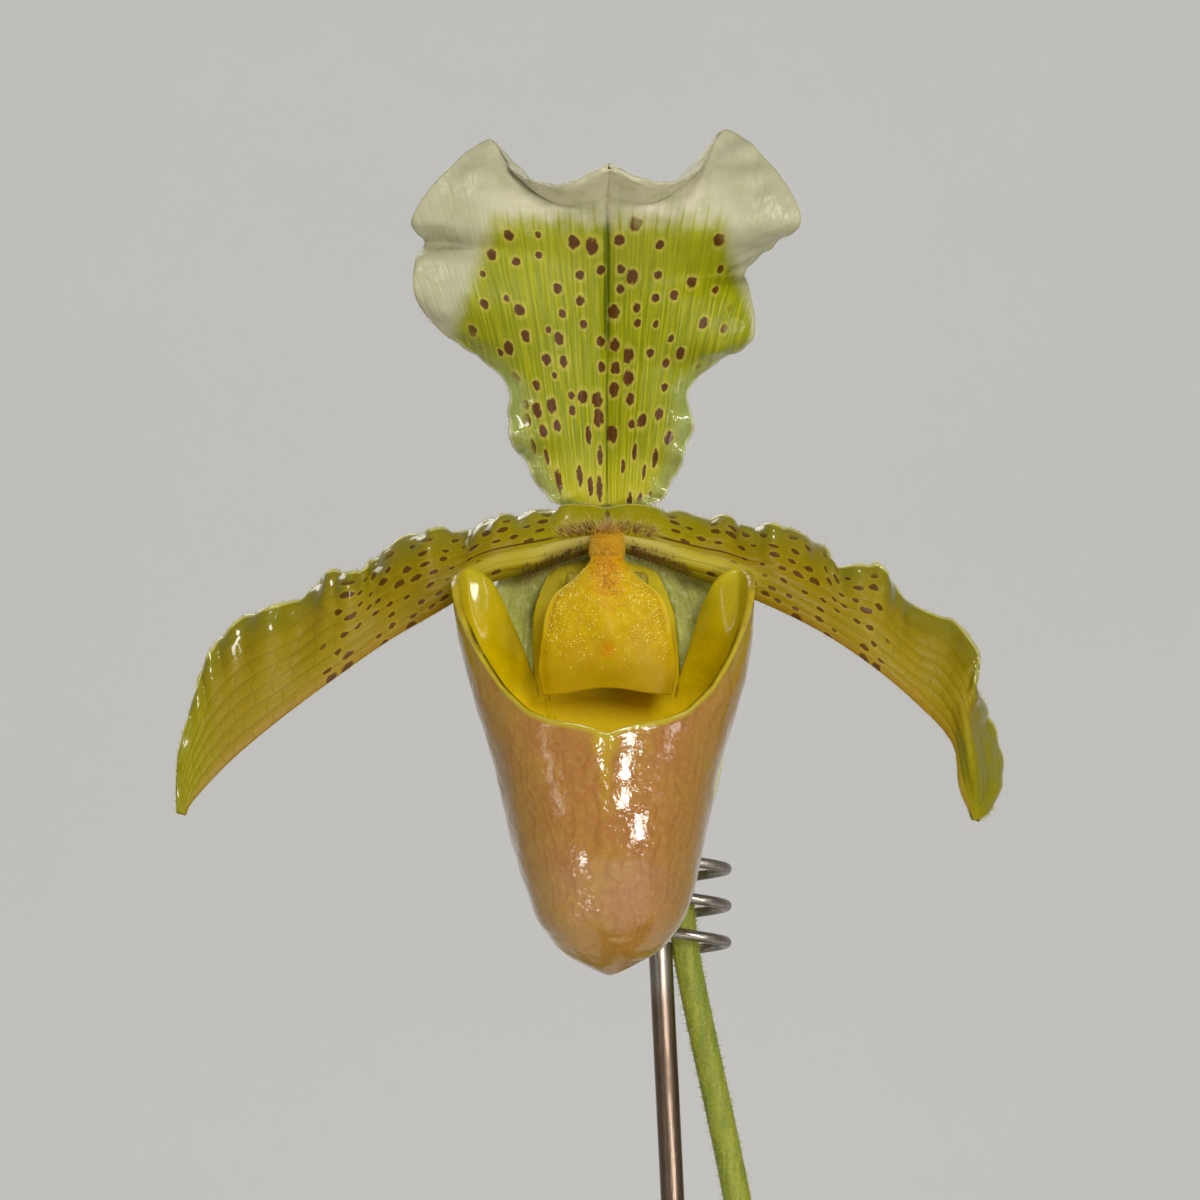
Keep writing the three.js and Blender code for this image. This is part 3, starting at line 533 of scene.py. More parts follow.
def sepalRelief(side, t, points):
    fan = points[:, 0] / (6.8 + 0.2 * points[:, 2])
    share = np.abs(side)
    veins = 0.5 + 0.5 * np.cos(fan * sepalFacts["veins"] * fullTurn)
    height = sepalFacts["veinHeight"] * veins * (1 - smooth(share, 0.7, 0.95)) * (1 - smooth(t, 0.72, 0.85))
    groove = sepalFacts["grooveDepth"] * bell(points[:, 0], 0, 0.5) * smooth(points[:, 2], 16, 24)
    groove = groove * (1 - smooth(t, 0.8, 0.92))
    wing = smooth(share, 0.62, 0.92) * (0.4 + 0.6 * smooth(t, 0.05, 0.15))
    fine = 0.05 * crinkle(points, 1.4, 4) * smooth(share, 0.75, 0.9)
    return height - groove + wing * 0.17 * crinkle(points, 3.4, 3) + fine


def sepalFinish(name, spotStrength, dullness):
    facts = sepalFacts
    f = Finish(name)
    c = facts["colours"]
    x, y, z = f.places(flowerCentre)
    u, _ = f.plan()
    share = (u - 0.5).size() * 2
    fan = x / (z * 0.2 + 6.8)  # the lines fan out from a point under the foot
    mottle = f.noise((fan * 9, z * 0.16), 1.6, 3)
    lane = fan * facts["veins"] + (f.noise((x, z), 0.12) - 0.5) * 0.7
    vein = lane.stripes(0.62, 1.0)
    streak = f.noise((fan * 42, z * 0.12), 1.0, 2)
    green = f.mix(streak.between(0.35, 0.68), c["deepGreen"], c["paleGreen"])
    green = f.mix(mottle.between(0.45, 0.75) * 0.5, green, c["shade"])
    green = f.mix(vein * 0.42, green, c["vein"])
    green = f.mix(z.between(12, 3) * 0.6, green, c["foot"])
    green = f.mix(z.between(26, 36) * 0.35, green, c["head"])
    groove = x.size().between(0.62, 0.2) * z.between(20, 24) * z.between(41, 38.5)
    line = x.size().between(0.3, 0.08) * 0.5 * z.between(22, 18)
    green = f.mix(groove.most(line) * 0.8, green, c["groove"])
    ragged = (f.noise((x, z), 0.5, 3) - 0.5) * 3
    top = (z + ragged + vein * -0.8).between(35.4, 39.2)
    wing = (x.size() - 14 - (36 - z) * 0.35 + ragged * 0.5).between(-1.2, 1.6) * z.between(19, 25)
    hem = share.between(0.955, 0.99) * 0.85
    glassy = share.between(0.66, 0.9) * z.between(24, 17) * 0.8
    green = f.mix(glassy, green, f.mix(mottle, c["paleGlass"], c["deepGlass"]))
    white = top.most(wing).most(hem)
    ivory = f.mix(f.noise((x, z, y), 0.35, 3).between(0.4, 0.7), c["ivory"], c["cream"])
    ivory = f.mix(x.size().between(8, 18) * 0.7, ivory, c["wing"])
    colour = f.mix(white, green, ivory)
    columns = fan * 5.4 + 0.5
    grow = fan.size().between(0.5, 0.1) * 0.3 + z.between(24, 10) * 0.35 + 1.1
    high, highHalo = speckles(f, columns, z, facts["spots"], grow)
    low, lowHalo = speckles(f, columns * 1.2, z, facts["streaks"])
    onGreen = (1 - white) * share.between(0.9, 0.75)
    colour = f.mix(highHalo.most(lowHalo) * onGreen * spotStrength * 0.3, colour, c["halo"])
    spots = high.most(low) * onGreen
    colour = f.mix(spots * spotStrength, colour, f.mix(mottle, c["darkSpot"], c["warmSpot"]))
    skin = f.noise((x, y, z), 3.2, 3)
    normal = f.bump(vein * -0.5 + skin * 0.5 + streak * 0.4, 0.06)
    return f.surface({
        "Base Color": colour, "Roughness": 0.36 + dullness - share.between(0.6, 0.9) * 0.2 + skin * 0.16,
        "Normal": normal, "Specular IOR Level": 0.2, "Coat Weight": glassy, "Coat Roughness": 0.07,
        **softFlesh(0.15, 1.2),
    })


print("dorsal sepal")
sepalForm = sepalSurface()
sepalSheet = sheet(
    "dorsal_sepal_fine", sepalFacts["grid"], sepalForm, flowerCentre, relief=sepalRelief,
    body=thinEdged(*sepalFacts["thinEdge"]),
)
sepalFaces = [sepalFinish("sepal_front", 0.95, 0.0), sepalFinish("sepal_back", 0.15, 0.2)]
thicken(sepalSheet, sepalFacts["thickness"], sepalFaces)
dressed(sepalSheet, node="dorsal_sepal")


# Petals: narrow sheets with a waved upper edge and a calm lower one

petalFacts = {
    "grid": (64, 230),
    "thickness": 0.8,
    "thinEdge": (0.8, 0.75),
    "calm": 0.05,
    "lanes": 8,  # rows between the veins
    "veinHeight": 0.07,
    "keelHeight": 0.45,
    "cup": 2.2,  # how far the middle swells forward at the root
    "rootTurn": [1, 1.2, 0.4, 0.5],  # the root is drawn in, more so below, then forward, and down
    "frill": {"pitch": 3.7, "length": 66, "out": 0.5, "forward": 0.55},  # the fine lobes of the upper margin
    "spots": {
        "laneWidth": 1.7, "pitch": 2.5, "halfLength": 0.76, "halfWidth": 0.54, "stray": 0.9, "chance": 0.85, "seed": 2,
        "span": (5, 36),
    },
    "left": {
        "upper": [
            [-1.1, 2.1, 2.6], [-3.4, 1.5, 3], [-7.2, 2.6, 2.5], [-10.4, 4.2, 1.9], [-13.6, 3, 1.6], [-17, 5.2, -0.2],
            [-20.6, 2.6, 0.2], [-24.2, 4, -0.7], [-28.2, 5.6, -3.3], [-30.2, 1.6, -5], [-33.6, 3.2, -5],
            [-36.2, 5, -7.6], [-39.6, 1.4, -9], [-44.2, 2.8, -10.6], [-48, 1.2, -14.8], [-49.6, -1.4, -20],
            [-51.4, -4.2, -27], [-51.4, -6.6, -33.8],
        ],
        "lower": [
            [-3.5, 1.9, -1.7], [-8.6, 0.4, -4.6], [-14.4, 0, -6.4], [-20.6, -0.6, -10], [-26.4, -1.4, -13.4],
            [-32.4, -2.2, -17.6], [-38.6, -3.4, -22.2], [-44.6, -4.8, -27.2], [-48.8, -6, -31.6], [-50.5, -6.6, -34],
        ],
        "ridge": 0,
    },
    "right": {
        "upper": [
            [1.1, 2.1, 2.6], [3.8, 1.5, 3], [7.6, 2.6, 2.4], [10.8, 4.2, 1.6], [14.6, 3, 1.5], [16.8, 5, 0.2],
            [20.6, 2.6, 0.7], [24, 4, -0.7], [26.6, 5.4, -2.2], [28, 2.4, -4.6], [32.6, 1.2, -4], [35.2, 3.8, -7.4],
            [37.4, 4.8, -9.4], [42, 1.6, -11], [44.6, -3.6, -15.2], [44.2, -4, -18.6], [46.2, 3.6, -22.4],
            [48, 4.6, -28.6], [46.6, 1.6, -33.4], [44.9, -1, -34.9],
        ],
        "lower": [
            [3.5, 1.9, -1.7], [8.4, 0.4, -4.6], [14.4, 0, -7], [21, -0.4, -9.8], [27, -1, -13], [33, -1.8, -17.2],
            [37.8, -2.6, -21.4], [41.4, -3.6, -25.6], [42.4, -3, -31], [44.1, -1, -34.8],
        ],
        "ridge": 4.2,
    },
    "colours": {
        "upper": (121, 113, 0), "middle": (135, 112, 0), "outer": (143, 122, 22), "mottle": (132, 114, 0),
        "tip": (136, 132, 2), "root": (148, 140, 0), "net": (104, 94, 0), "lower": (150, 100, 34),
        # under is painted shade: a dark olive below the keel near the root, where shadow falls
        "keel": (182, 168, 50), "keelRoot": (188, 172, 90), "under": (104, 98, 6), "hem": (206, 200, 120),
        "halo": (180, 156, 40), "spot": (74, 40, 4),
    },
}


def petalSurface(shape):
    run, wave = ruffled(shape["upper"], petalFacts["calm"])

    def surface(side, t):
        share = ((1 + side) / 2)[:, None]
        calm = run(t) * (1 - share) + through(shape["lower"], t) * share
        point = calm + wave(t) * (1 - share) ** 1.9
        share = share[:, 0]
        frill = petalFacts["frill"]
        turnAt = t * frill["length"] / frill["pitch"] * math.pi + 0.8 * np.sin(t * 23)
        weight = (1 - share) ** 4 * smooth(t, 0.02, 0.1) * smooth(t, 1, 0.8)
        point[:, 2] += frill["out"] * (np.abs(np.sin(turnAt)) - 0.75) * weight
        point[:, 1] += frill["forward"] * np.sin(turnAt * 2) * weight
        point[:, 1] -= petalFacts["cup"] * np.sin(math.pi * share) * (1 - t)
        root = smooth(t, 0.09, 0)
        inward, inwardBelow, forward, down = petalFacts["rootTurn"]
        point[:, 0] -= np.sign(point[:, 0]) * (inward + inwardBelow * share) * root
        point[:, 1] -= forward * root
        point[:, 2] -= down * share**2 * smooth(t, 0.3, 0)
        point[:, 1] -= shape["ridge"] * bell(t, 0.85, 0.07) * bell(share, 0.62, 0.2)
        return point

    return surface


def petalRelief(side, t, points):
    share = (1 + side) / 2
    veins = 0.5 + 0.5 * np.cos(share * petalFacts["lanes"] * fullTurn)
    wing = smooth(share, 0.45, 0.05)
    keel = petalFacts["keelHeight"] * bell(share, 0.74, 0.1) * smooth(t, 0.3, 0.1)
    ruck = 0.2 * crinkle(points, 3.6, 8) + 0.035 * crinkle(points, 1.5, 9)
    return -petalFacts["veinHeight"] * veins * smooth(share, 0.2, 0.5) + wing * ruck + keel


def petalPlan(shape):  # distance along the petal, in tenths of a metre, and share of its width
    fine = np.linspace(0, 1, 400)
    line = (through(shape["upper"], fine) + through(shape["lower"], fine)) / 2
    travel = np.concatenate([[0], np.cumsum(np.linalg.norm(np.diff(line, axis=0), axis=1))])
    return lambda side, t: np.stack([np.interp(t, fine, travel) / 100, (1 + side) / 2], 1)


def petalFinish(name, spotStrength, dullness):
    f = Finish(name)
    c = petalFacts["colours"]
    x, y, z = f.places(flowerCentre)
    u, share = f.plan()
    along = u * 100
    lane = share * petalFacts["lanes"] + (f.noise((along * 0.12, share * 3), 1.0) - 0.5) * 0.8
    vein = lane.stripes(0.7, 1.0)
    row = f.chance(lane.floor())
    rungs = along / 3.1 + row * 4 + f.noise((x, z), 0.4) * 1.4
    rung = rungs.stripes(0.82, 1.0) * share.between(0.12, 0.3)
    mottle = f.noise((x, y, z), 0.22, 3)
    outer = along.between(20, 38)
    colour = f.mix(share.between(0.05, 0.5), c["upper"], c["middle"])
    colour = f.mix(outer * 0.8 * share.between(0.16, 0.34), colour, c["outer"])
    colour = f.mix(mottle.between(0.4, 0.7) * 0.45, colour, c["mottle"])
    colour = f.mix(along.between(50, 60) * 0.7, colour, c["tip"])
    colour = f.mix(along.between(16, 2) * 0.7, colour, c["root"])
    net = vein.most(rung * outer * 0.9)
    colour = f.mix(net * (outer * 0.14 + 0.16), colour, c["net"])
    colour = f.mix(share.between(0.86, 0.98) * 0.35 * along.between(8, 20), colour, c["lower"])
    keel = (share - 0.72 + along * 0.002).size().between(0.13, 0.07) * along.between(21, 12)
    colour = f.mix(keel * 0.7, colour, f.mix(along.between(9, 3), c["keel"], c["keelRoot"]))
    # Painted shade: the petal below the keel, near its root, is darkened where the shadow under the keel falls
    under = share.between(0.82, 0.9) * along.between(13, 8) * 0.8
    colour = f.mix(under, colour, c["under"])
    stripe = (share - 0.56 + along * 0.004).size().between(0.022, 0.01) * along.between(18, 13) * along.between(3, 5)
    hem = share.between(0.035, 0.01) * 0.7
    colour = f.mix(hem, colour, c["hem"])
    dots, halo = speckles(f, lane, along, petalFacts["spots"])
    where = share.between(0.08, 0.15) * (1 - keel) * (1 - under)
    colour = f.mix(halo * where * 0.2 * spotStrength, colour, c["halo"])
    colour = f.mix((dots * where).most(stripe) * spotStrength, colour, c["spot"])
    skin = f.noise((x, y, z), 2.6, 3)
    normal = f.bump(net * share.between(0.2, 0.4) * -0.5 + skin * 0.6, 0.06)
    return f.surface({
        "Base Color": colour, "Roughness": 0.3 + dullness + skin * 0.12, "Normal": normal,
        "Specular IOR Level": 0.12, "Coat Weight": share.between(0.32, 0.1) * 0.9, "Coat Roughness": 0.08,
        **softFlesh(0.12, 1.0),
    })


print("petals")
petalFaces = [petalFinish("petal_front", 0.9, 0.0), petalFinish("petal_back", 0.2, 0.2)]
petalPieces = {}
for hand in ("left", "right"):
    shape = petalFacts[hand]
    piece = sheet(
        f"petal_{hand}_fine", petalFacts["grid"], petalSurface(shape), flowerCentre, petalPlan(shape), petalRelief,
        body=thinEdged(*petalFacts["thinEdge"]),
    )
    thicken(piece, petalFacts["thickness"], petalFaces)
    petalPieces[hand] = dressed(piece, node="petal_" + hand)


# Synsepal: the two lower sepals, joined behind the lip

synsepalFacts = {
    "grid": (70, 90),
    "thickness": 0.8,
    "veins": 7,
    "bow": 0.8,
    "wave": 0.7,
    "shoulder": 2.3,  # how far its top edge rises on both sides of the column
    "midrib": [[0, 3.6, -3], [0, 4.6, -14], [0, 5.2, -26], [0, 3.8, -38], [0, 0.8, -47]],
    "halves": [  # middle, half width, depth and height
        [0, 2.6, 3.6, -2.9], [0.3, 12.2, 4.6, -4.4], [0.5, 14.8, 4.2, -12.5], [0.2, 14.6, 3.2, -23],
        [0.3, 11.2, 2.6, -35.5], [0, 0.9, 0.8, -46.8],
    ],
    "colours": {
        "deep": (180, 184, 70), "pale": (204, 204, 104), "vein": (150, 162, 60), "down": (226, 228, 164),
        "margin": (220, 224, 170),
    },
}


def synsepalSurface(side, t):
    facts = synsepalFacts
    share = np.abs(side)[:, None]
    hand = np.sign(side)[:, None]
    shift, reach, back, height = through(facts["halves"], t).T[:, :, None]
    edge = np.concatenate([shift + hand * reach, back, height], 1)
    middle = through(facts["midrib"], t)
    point = middle + (edge - middle) * share
    share = share[:, 0]
    point[:, 1] += facts["bow"] * np.sin(math.pi * share) * np.sin(math.pi * t)
    point[:, 1] += facts["wave"] * share**3 * np.sin(t * 19 + side)
    point[:, 2] += facts["shoulder"] * share**2 * bell(np.abs(point[:, 0]), 5.4, 3.8) * smooth(t, 0.32, 0.12)
    return point


def synsepalFinish():
    f = Finish("synsepal")
    c = synsepalFacts["colours"]
    x, y, z = f.places(flowerCentre)
    u, _ = f.plan()
    fan = (u - 0.5) * 2
    vein = (fan * synsepalFacts["veins"]).stripes(0.6, 1.0)
    down = f.noise((x, z, y), 1.1, 4, 0.65)
    streak = f.noise((fan * 16, z * 0.15), 1.0, 2)
    colour = f.mix(streak.between(0.3, 0.7), c["deep"], c["pale"])
    colour = f.mix(vein * 0.3, colour, c["vein"])
    colour = f.mix(down.between(0.5, 0.68) * 0.7, colour, c["down"])
    colour = f.mix(fan.size().between(0.9, 1.0) * 0.5, colour, c["margin"])
    normal = f.bump(down - vein * 0.3, 0.3)
    return f.surface({
        "Base Color": colour, "Roughness": 0.5 - down * 0.2, "Normal": normal, "Sheen Weight": 0.3,
        "Sheen Roughness": 0.4, **softFlesh(0.2, 1.2),
    })


print("synsepal")
synsepalSheet = sheet("synsepal_fine", synsepalFacts["grid"], synsepalSurface, flowerCentre)
thicken(synsepalSheet, synsepalFacts["thickness"], [synsepalFinish()])
dressed(synsepalSheet, node="synsepal")


# Lip: a slipper whose wall climbs from the toe to a rim that is low in front and high at its side lobes

lipFacts = {
    "grid": (240, 130),
    "wall": 0.9,
    "toe": -52.7,
    "top": -4,
    "toeLevel": 0.1,  # the toe is rounded below this level
    "toeRoundness": 0.6,
    "lobe": {"angle": 134, "spread": 16, "forward": 2.2},  # how the side lobes turn forward
    "bead": 0.22,  # how far the rim's edge is swollen
    "crease": 0.12,  # depth of the crease under the notch
    "dip": 0.14,  # depth of the dip across the front
    "rough": [(0.07, 6, 5), (0.016, 2.1, 6)],  # unevenness: height, size and seed
    "squareness": [1, 0.72, 0.92],  # of its back low down and high up, and of its front; 1 is round
    "veins": 58,
    "rim": [  # angle from the front, in degrees, and the rim's height there
        [0, -23.9], [6, -23.2], [12, -22.8], [24, -22.3], [36, -21.2], [48, -18.6], [60, -14.6], [72, -10.2],
        [84, -7], [96, -5.5], [108, -4.9], [120, -4.7], [129, -5.1], [136, -6.2], [142, -8.4], [147, -11.8],
        [152, -16.6], [156, -20.4], [158.2, -15.6], [160.5, -9], [166, -5], [180, -3.5],
    ],
    "halfWidth": [0.1, 7.4, 9.8, 11.1, 12.2, 13.3, 14.8, 16.3, 17.3, 17.9, 17.8],
    "front": [-15, -22.6, -24.8, -26, -26.2, -25.6, -24.6, -23, -21, -19, -17],
    "back": [-15, -9, -6.2, -4, -2.4, -1.2, -0.4, 0, 0.4, 1, 1.7],
    "middle": [0.3, 0.4, 0.35, 0.15, 0.1, 0, 0, 0, -0.2, -0.4, -0.5],
    "outside": {  # colours of its three faces
        "tan": (162, 118, 50), "pink": (154, 103, 50), "flank": (152, 120, 32), "fleck": (184, 140, 78),
        "vein": (126, 78, 24), "toe": (178, 138, 56), "notch": (176, 148, 12), "lobe": (168, 150, 30),
        "hem": (172, 152, 34),
    },
    "inside": {
        "pale": (200, 172, 0), "deep": (184, 158, 0), "lobe": (158, 152, 30), "fold": (150, 156, 8),
        # hollowPaintedLight is painted light: a brighter yellow deep in the pouch
        "hollowPaintedLight": (250, 218, 0),
    },
    "edge": {
        "pale": (180, 160, 32), "deep": (164, 138, 24),
    },
}


def rimHeight(degrees):
    table = np.array(lipFacts["rim"], float)
    fine = np.linspace(-180, 180, 721)
    height = np.interp(np.abs(fine), table[:, 0], table[:, 1])
    kernel = np.hanning(11)
    soft = np.convolve(np.concatenate([height[-6:-1], height, height[1:6]]), kernel / kernel.sum(), "valid")
    soft = lerp(height, soft, smooth(np.abs(fine), 3, 10))  # the notch in front stays sharp
    return np.interp(degrees, fine, soft)


def lipSurface(side, t):
    facts = lipFacts
    wrapped = (side + 1) % 2 - 1
    angle = wrapped * math.pi
    z = lerp(facts["toe"], rimHeight(wrapped * 180), t**1.6)
    height = (z - facts["toe"]) / (facts["top"] - facts["toe"])
    toe = np.clip(height / facts["toeLevel"], 0, 1)
    level = np.where(toe < 1, facts["toeLevel"] * toe ** facts["toeRoundness"], height)
    curves = [facts[name] for name in ("halfWidth", "front", "back", "middle")]
    width, front, back, middle = [through(curve, level, level=True) for curve in curves]
    low, high, ahead = facts["squareness"]
    squareness = np.where(np.cos(angle) < 0, lerp(low, high, smooth(level, 0.3, 0.7)), ahead)

    def squared(value):
        return np.sign(value) * np.abs(value) ** squareness

    x = middle + width * squared(np.sin(angle))
    y = (front + back) / 2 - (back - front) / 2 * squared(np.cos(angle))
    lobe = facts["lobe"]
    forward = lobe["forward"] * bell(np.abs(wrapped) * 180, lobe["angle"], lobe["spread"]) * smooth(level, 0.6, 1)
    return np.stack([x, y - forward, z], -1)


def lipRelief(side, t, points):
    bead = lipFacts["bead"] * bell(t, 0.997, 0.008)
    crease = lipFacts["crease"] * bell(side * 180, 0, 4) * smooth(t, 0.75, 0.97)
    dip = lipFacts["dip"] * bell(points[:, 2], -31.4, 1.7) * bell(side, 0, 0.3)
    rough = sum(height * crinkle(points, size, seed) for height, size, seed in lipFacts["rough"])
    return bead - crease - dip + rough * smooth(t, 0.99, 0.9) * smooth(t, 0, 0.15)


def lipOutside():
    f = Finish("lip_outside")
    c = lipFacts["outside"]
    x, y, z = f.places(flowerCentre)
    u, v = f.plan()
    turnShare = (u - 0.5).size() * 2  # 0 in front, 1 behind
    wander = (f.noise((x, y, z), 0.12, 3) - 0.5) * 6 + (f.noise((x, y, z), 0.45, 2) - 0.5) * 1.6
    lane = u * lipFacts["veins"] + wander
    vein = lane.stripes(0.4, 1.0)
    broken = f.noise((u * 60, z * 0.16), 1.0, 3)
    mottle = f.noise((x, y, z), 0.16, 4, 0.6)
    fleck = f.noise((x, y, z), 1.3, 4, 0.65)
    colour = f.mix(mottle.between(0.38, 0.62), c["tan"], c["pink"])
    colour = f.mix(turnShare.between(0.12, 0.42) * 0.7, colour, c["flank"])
    colour = f.mix(fleck.between(0.45, 0.75) * 0.45, colour, c["fleck"])
    colour = f.mix(vein * broken.between(0.35, 0.65) * 0.45, colour, c["vein"])
    colour = f.mix(z.between(-42, -52) * 0.45, colour, c["toe"])
    midline = (x + 0.2).size().between(1.2, 0.2) * z.between(-35, -25) * y.between(-10, -18)
    notch = (x + 0.2).size().between(2.2, 0.6) * z.between(-27.5, -25)
    colour = f.mix((midline * 0.7).most(notch * 0.8) * y.between(-10, -18), colour, c["notch"])
    colour = f.mix(z.between(-20, -9) * 0.6, colour, c["lobe"])
    colour = f.mix(v.between(0.98, 0.993), colour, c["hem"])
    skin = f.noise((x, y, z), 1.0, 3, 0.45)
    normal = f.bump(skin, 0.13)
    return f.surface({
        "Base Color": colour, "Roughness": 0.05 + fleck * 0.06, "Normal": normal, "Specular IOR Level": 0.5,
        "Coat Weight": 0.6, "Coat Roughness": 0.06, **softFlesh(0.12, 1.0),
    })


def lipInside():
    f = Finish("lip_inside")
    c = lipFacts["inside"]
    x, y, z = f.places(flowerCentre)
    mottle = f.noise((x, y, z), 0.25, 3)
    colour = f.mix(mottle.between(0.35, 0.7), c["pale"], c["deep"])
    colour = f.mix(z.between(-16, -6) * 0.5, colour, c["lobe"])
    fold = x.size().between(2.6, 0.6) * y.between(-4, -1)
    colour = f.mix(fold * 0.4, colour, c["fold"])
    grain = f.noise((x, y, z), 1.4, 3)
    deep = z.between(-16, -20).most(x.size().between(10.5, 8.5))
    # Painted light: the deep hollow of the pouch is painted a brighter yellow, standing in for light that shines
    # through its wall
    colour = f.mix(z.between(-19, -22) * 0.8, colour, c["hollowPaintedLight"])
    return f.surface({
        "Base Color": colour, "Roughness": 0.12 + grain * 0.1 + deep * 0.34, "Normal": f.bump(grain, 0.12),
        "Specular IOR Level": 0.1, "Coat Weight": (1 - deep) * 0.7, "Coat Roughness": 0.12, **softFlesh(0.1, 1.2),
    })


def lipRim():
    f = Finish("lip_rim")
    c = lipFacts["edge"]
    x, y, z = f.places(flowerCentre)
    tint = f.noise((x, y, z), 0.5, 3)
    colour = f.mix(tint.between(0.3, 0.7), c["pale"], c["deep"])
    return f.surface({
        "Base Color": colour, "Roughness": 0.22, "Normal": f.bump(tint, 0.1), "Specular IOR Level": 0.4,
        **softFlesh(0.2, 1.2),
    })


print("lip")
lipSheet = sheet("lip_fine", lipFacts["grid"], lipSurface, flowerCentre, relief=lipRelief, facing=None, closed=True)
thicken(lipSheet, lipFacts["wall"], [lipOutside(), lipInside(), lipRim()], offset=-1)
dressed(lipSheet, node="lip")


# Staminode: the shield over the column, domed forward, with a boss and glossy beads

shieldFacts = {
    "grid": (90, 100),
    "thickness": 1.1,
    "thinEdge": (0.8, 0.8),
    "top": -3.4,
    "bottom": -19.2,
    "front": -9.05,
    "halfWidths": [1.7, 3.4, 6.2, 7.2, 7.6, 7.9, 8.1, 7.6],
    "dome": 2.6,
    "slope": 1.4,  # how much further forward its foot lies
    "roll": 0.45,  # how far its upper edges turn forward
    "boss": [0.1, -14.3],  # across and up
    "bossHeight": 0.9,
    "notch": 0.5,  # how far the middle of its foot is lifted
    "wave": (0.035, 3.2, 22),  # height, size and seed
    "beads": 1500,
    "beadRadius": [0.06, 0.13],
    "beadSunk": 0.02,
    "colours": {
        "deep": (184, 148, 0), "pale": (192, 161, 0), "lower": (172, 138, 0), "centre": (206, 138, 0),
        "boss": (206, 112, 0), "margin": (208, 192, 50),
    },
    "beadColours": {
        "gold": (212, 170, 10), "pale": (246, 218, 96),
    },
}


def shieldSurface(side, t):
    facts = shieldFacts
    half = through(facts["halfWidths"], t, level=True)
    dome = facts["dome"] * (1 - side**2) * np.sin(math.pi * np.minimum(1, 0.14 + 0.8 * t))
    boss = facts["bossHeight"] * bell(side, 0, 0.27) * bell(t, 0.52, 0.16)
    lift = facts["notch"] * np.cos(side * math.pi) * smooth(t, 0.82, 1)
    roll = facts["roll"] * smooth(np.abs(side), 0.88, 1) * smooth(t, 0.66, 0.5)
    y = facts["front"] - dome - boss - facts["slope"] * t - roll
    return np.stack([side * half, y, lerp(facts["top"], facts["bottom"], t) + lift], -1)


def shieldRelief(side, t, points):
    height, size, seed = shieldFacts["wave"]
    return height * crinkle(points, size, seed)


def shieldFinish():
    f = Finish("shield")
    c = shieldFacts["colours"]
    x, y, z = f.places(flowerCentre)
    u, v = f.plan()
    share = (u - 0.5).size() * 2
    grain = f.noise((x, y, z), 0.7, 3, 0.5)
    colour = f.mix(grain.between(0.35, 0.7), c["deep"], c["pale"])
    colour = f.mix(v.between(0.55, 0.95) * 0.7, colour, c["lower"])
    colour = f.mix(x.size().between(3.4, 0.4) * v.between(0.5, 0.05) * 0.75, colour, c["centre"])
    acrossBoss, aboveBoss = x - shieldFacts["boss"][0], z - shieldFacts["boss"][1]
    near = (acrossBoss * acrossBoss + aboveBoss * aboveBoss).between(1.6, 0.1)
    colour = f.mix(near * 0.4, colour, c["boss"])
    colour = f.mix(share.between(0.965, 0.99) * v.between(0.6, 0.45) * 0.7, colour, c["margin"])
    return f.surface({
        "Base Color": colour, "Roughness": 0.4 + grain * 0.12, "Normal": f.bump(grain, 0.04),
        "Specular IOR Level": 0.15, **softFlesh(0.2, 1.0),
    })


def beadFinish():
    f = Finish("beads")
    c = shieldFacts["beadColours"]
    x, y, z = f.places(flowerCentre)
    tone = f.noise((x, y, z), 0.9, 2)
    colour = f.mix(tone.between(0.35, 0.65), c["gold"], c["pale"])
    return f.surface({
        "Base Color": colour, "Roughness": 0.08 + tone * 0.1, "Specular IOR Level": 1.0, **softFlesh(0.2, 0.5)
    })


def beadShape():  # half a drop with five sides
    bpy.ops.object.select_all(action="DESELECT")
    bpy.ops.mesh.primitive_cone_add(
        vertices=5, radius1=1, radius2=0.55, depth=0.7, end_fill_type="TRIFAN", location=(0, 0, 0.35)
    )
    bead = settled(newest("bead_shape"))
    points = readPoints(bead)
    points[np.hypot(points[:, 0], points[:, 1]) < 1e-6, 2] *= 1.35
    writePoints(bead, points)
    return bead


def beadsPiece(bead):  # more of them near the margins and in the upper half
    random = np.random.default_rng(31)
    count = shieldFacts["beads"]
    side = 0.9 * np.sign(random.uniform(-1, 1, count)) * random.uniform(0, 1, count) ** 0.7
    t = 0.06 + 0.8 * random.beta(1.7, 2.2, count)
    place, normal, across, _ = frameAt(shieldSurface, side, t)
    normal *= np.where(normal[:, 1] > 0, -1, 1)[:, None]
    radius = random.uniform(*shieldFacts["beadRadius"], count)[:, None, None]
    form = readPoints(bead)[None, :, :, None]
    third = np.cross(normal, across)
    spread = across[:, None] * form[:, :, 0] + third[:, None] * form[:, :, 1] + normal[:, None] * form[:, :, 2]
    roots = place + normal * (shieldFacts["thickness"] / 2 - shieldFacts["beadSunk"])
    return gathered("staminode_beads", bead, (roots[:, None] + spread * radius + flowerCentre) * mm)


print("staminode")
shieldFace = shieldFinish()
shieldSheet = sheet(
    "staminode_fine", shieldFacts["grid"], shieldSurface, flowerCentre, relief=shieldRelief,
    body=thinEdged(*shieldFacts["thinEdge"]),
)
thicken(shieldSheet, shieldFacts["thickness"], [shieldFace])
dressed(shieldSheet, node="staminode")
bead = beadShape()
dressed(beadsPiece(bead), beadFinish())


# Column, anthers, ovary and bract

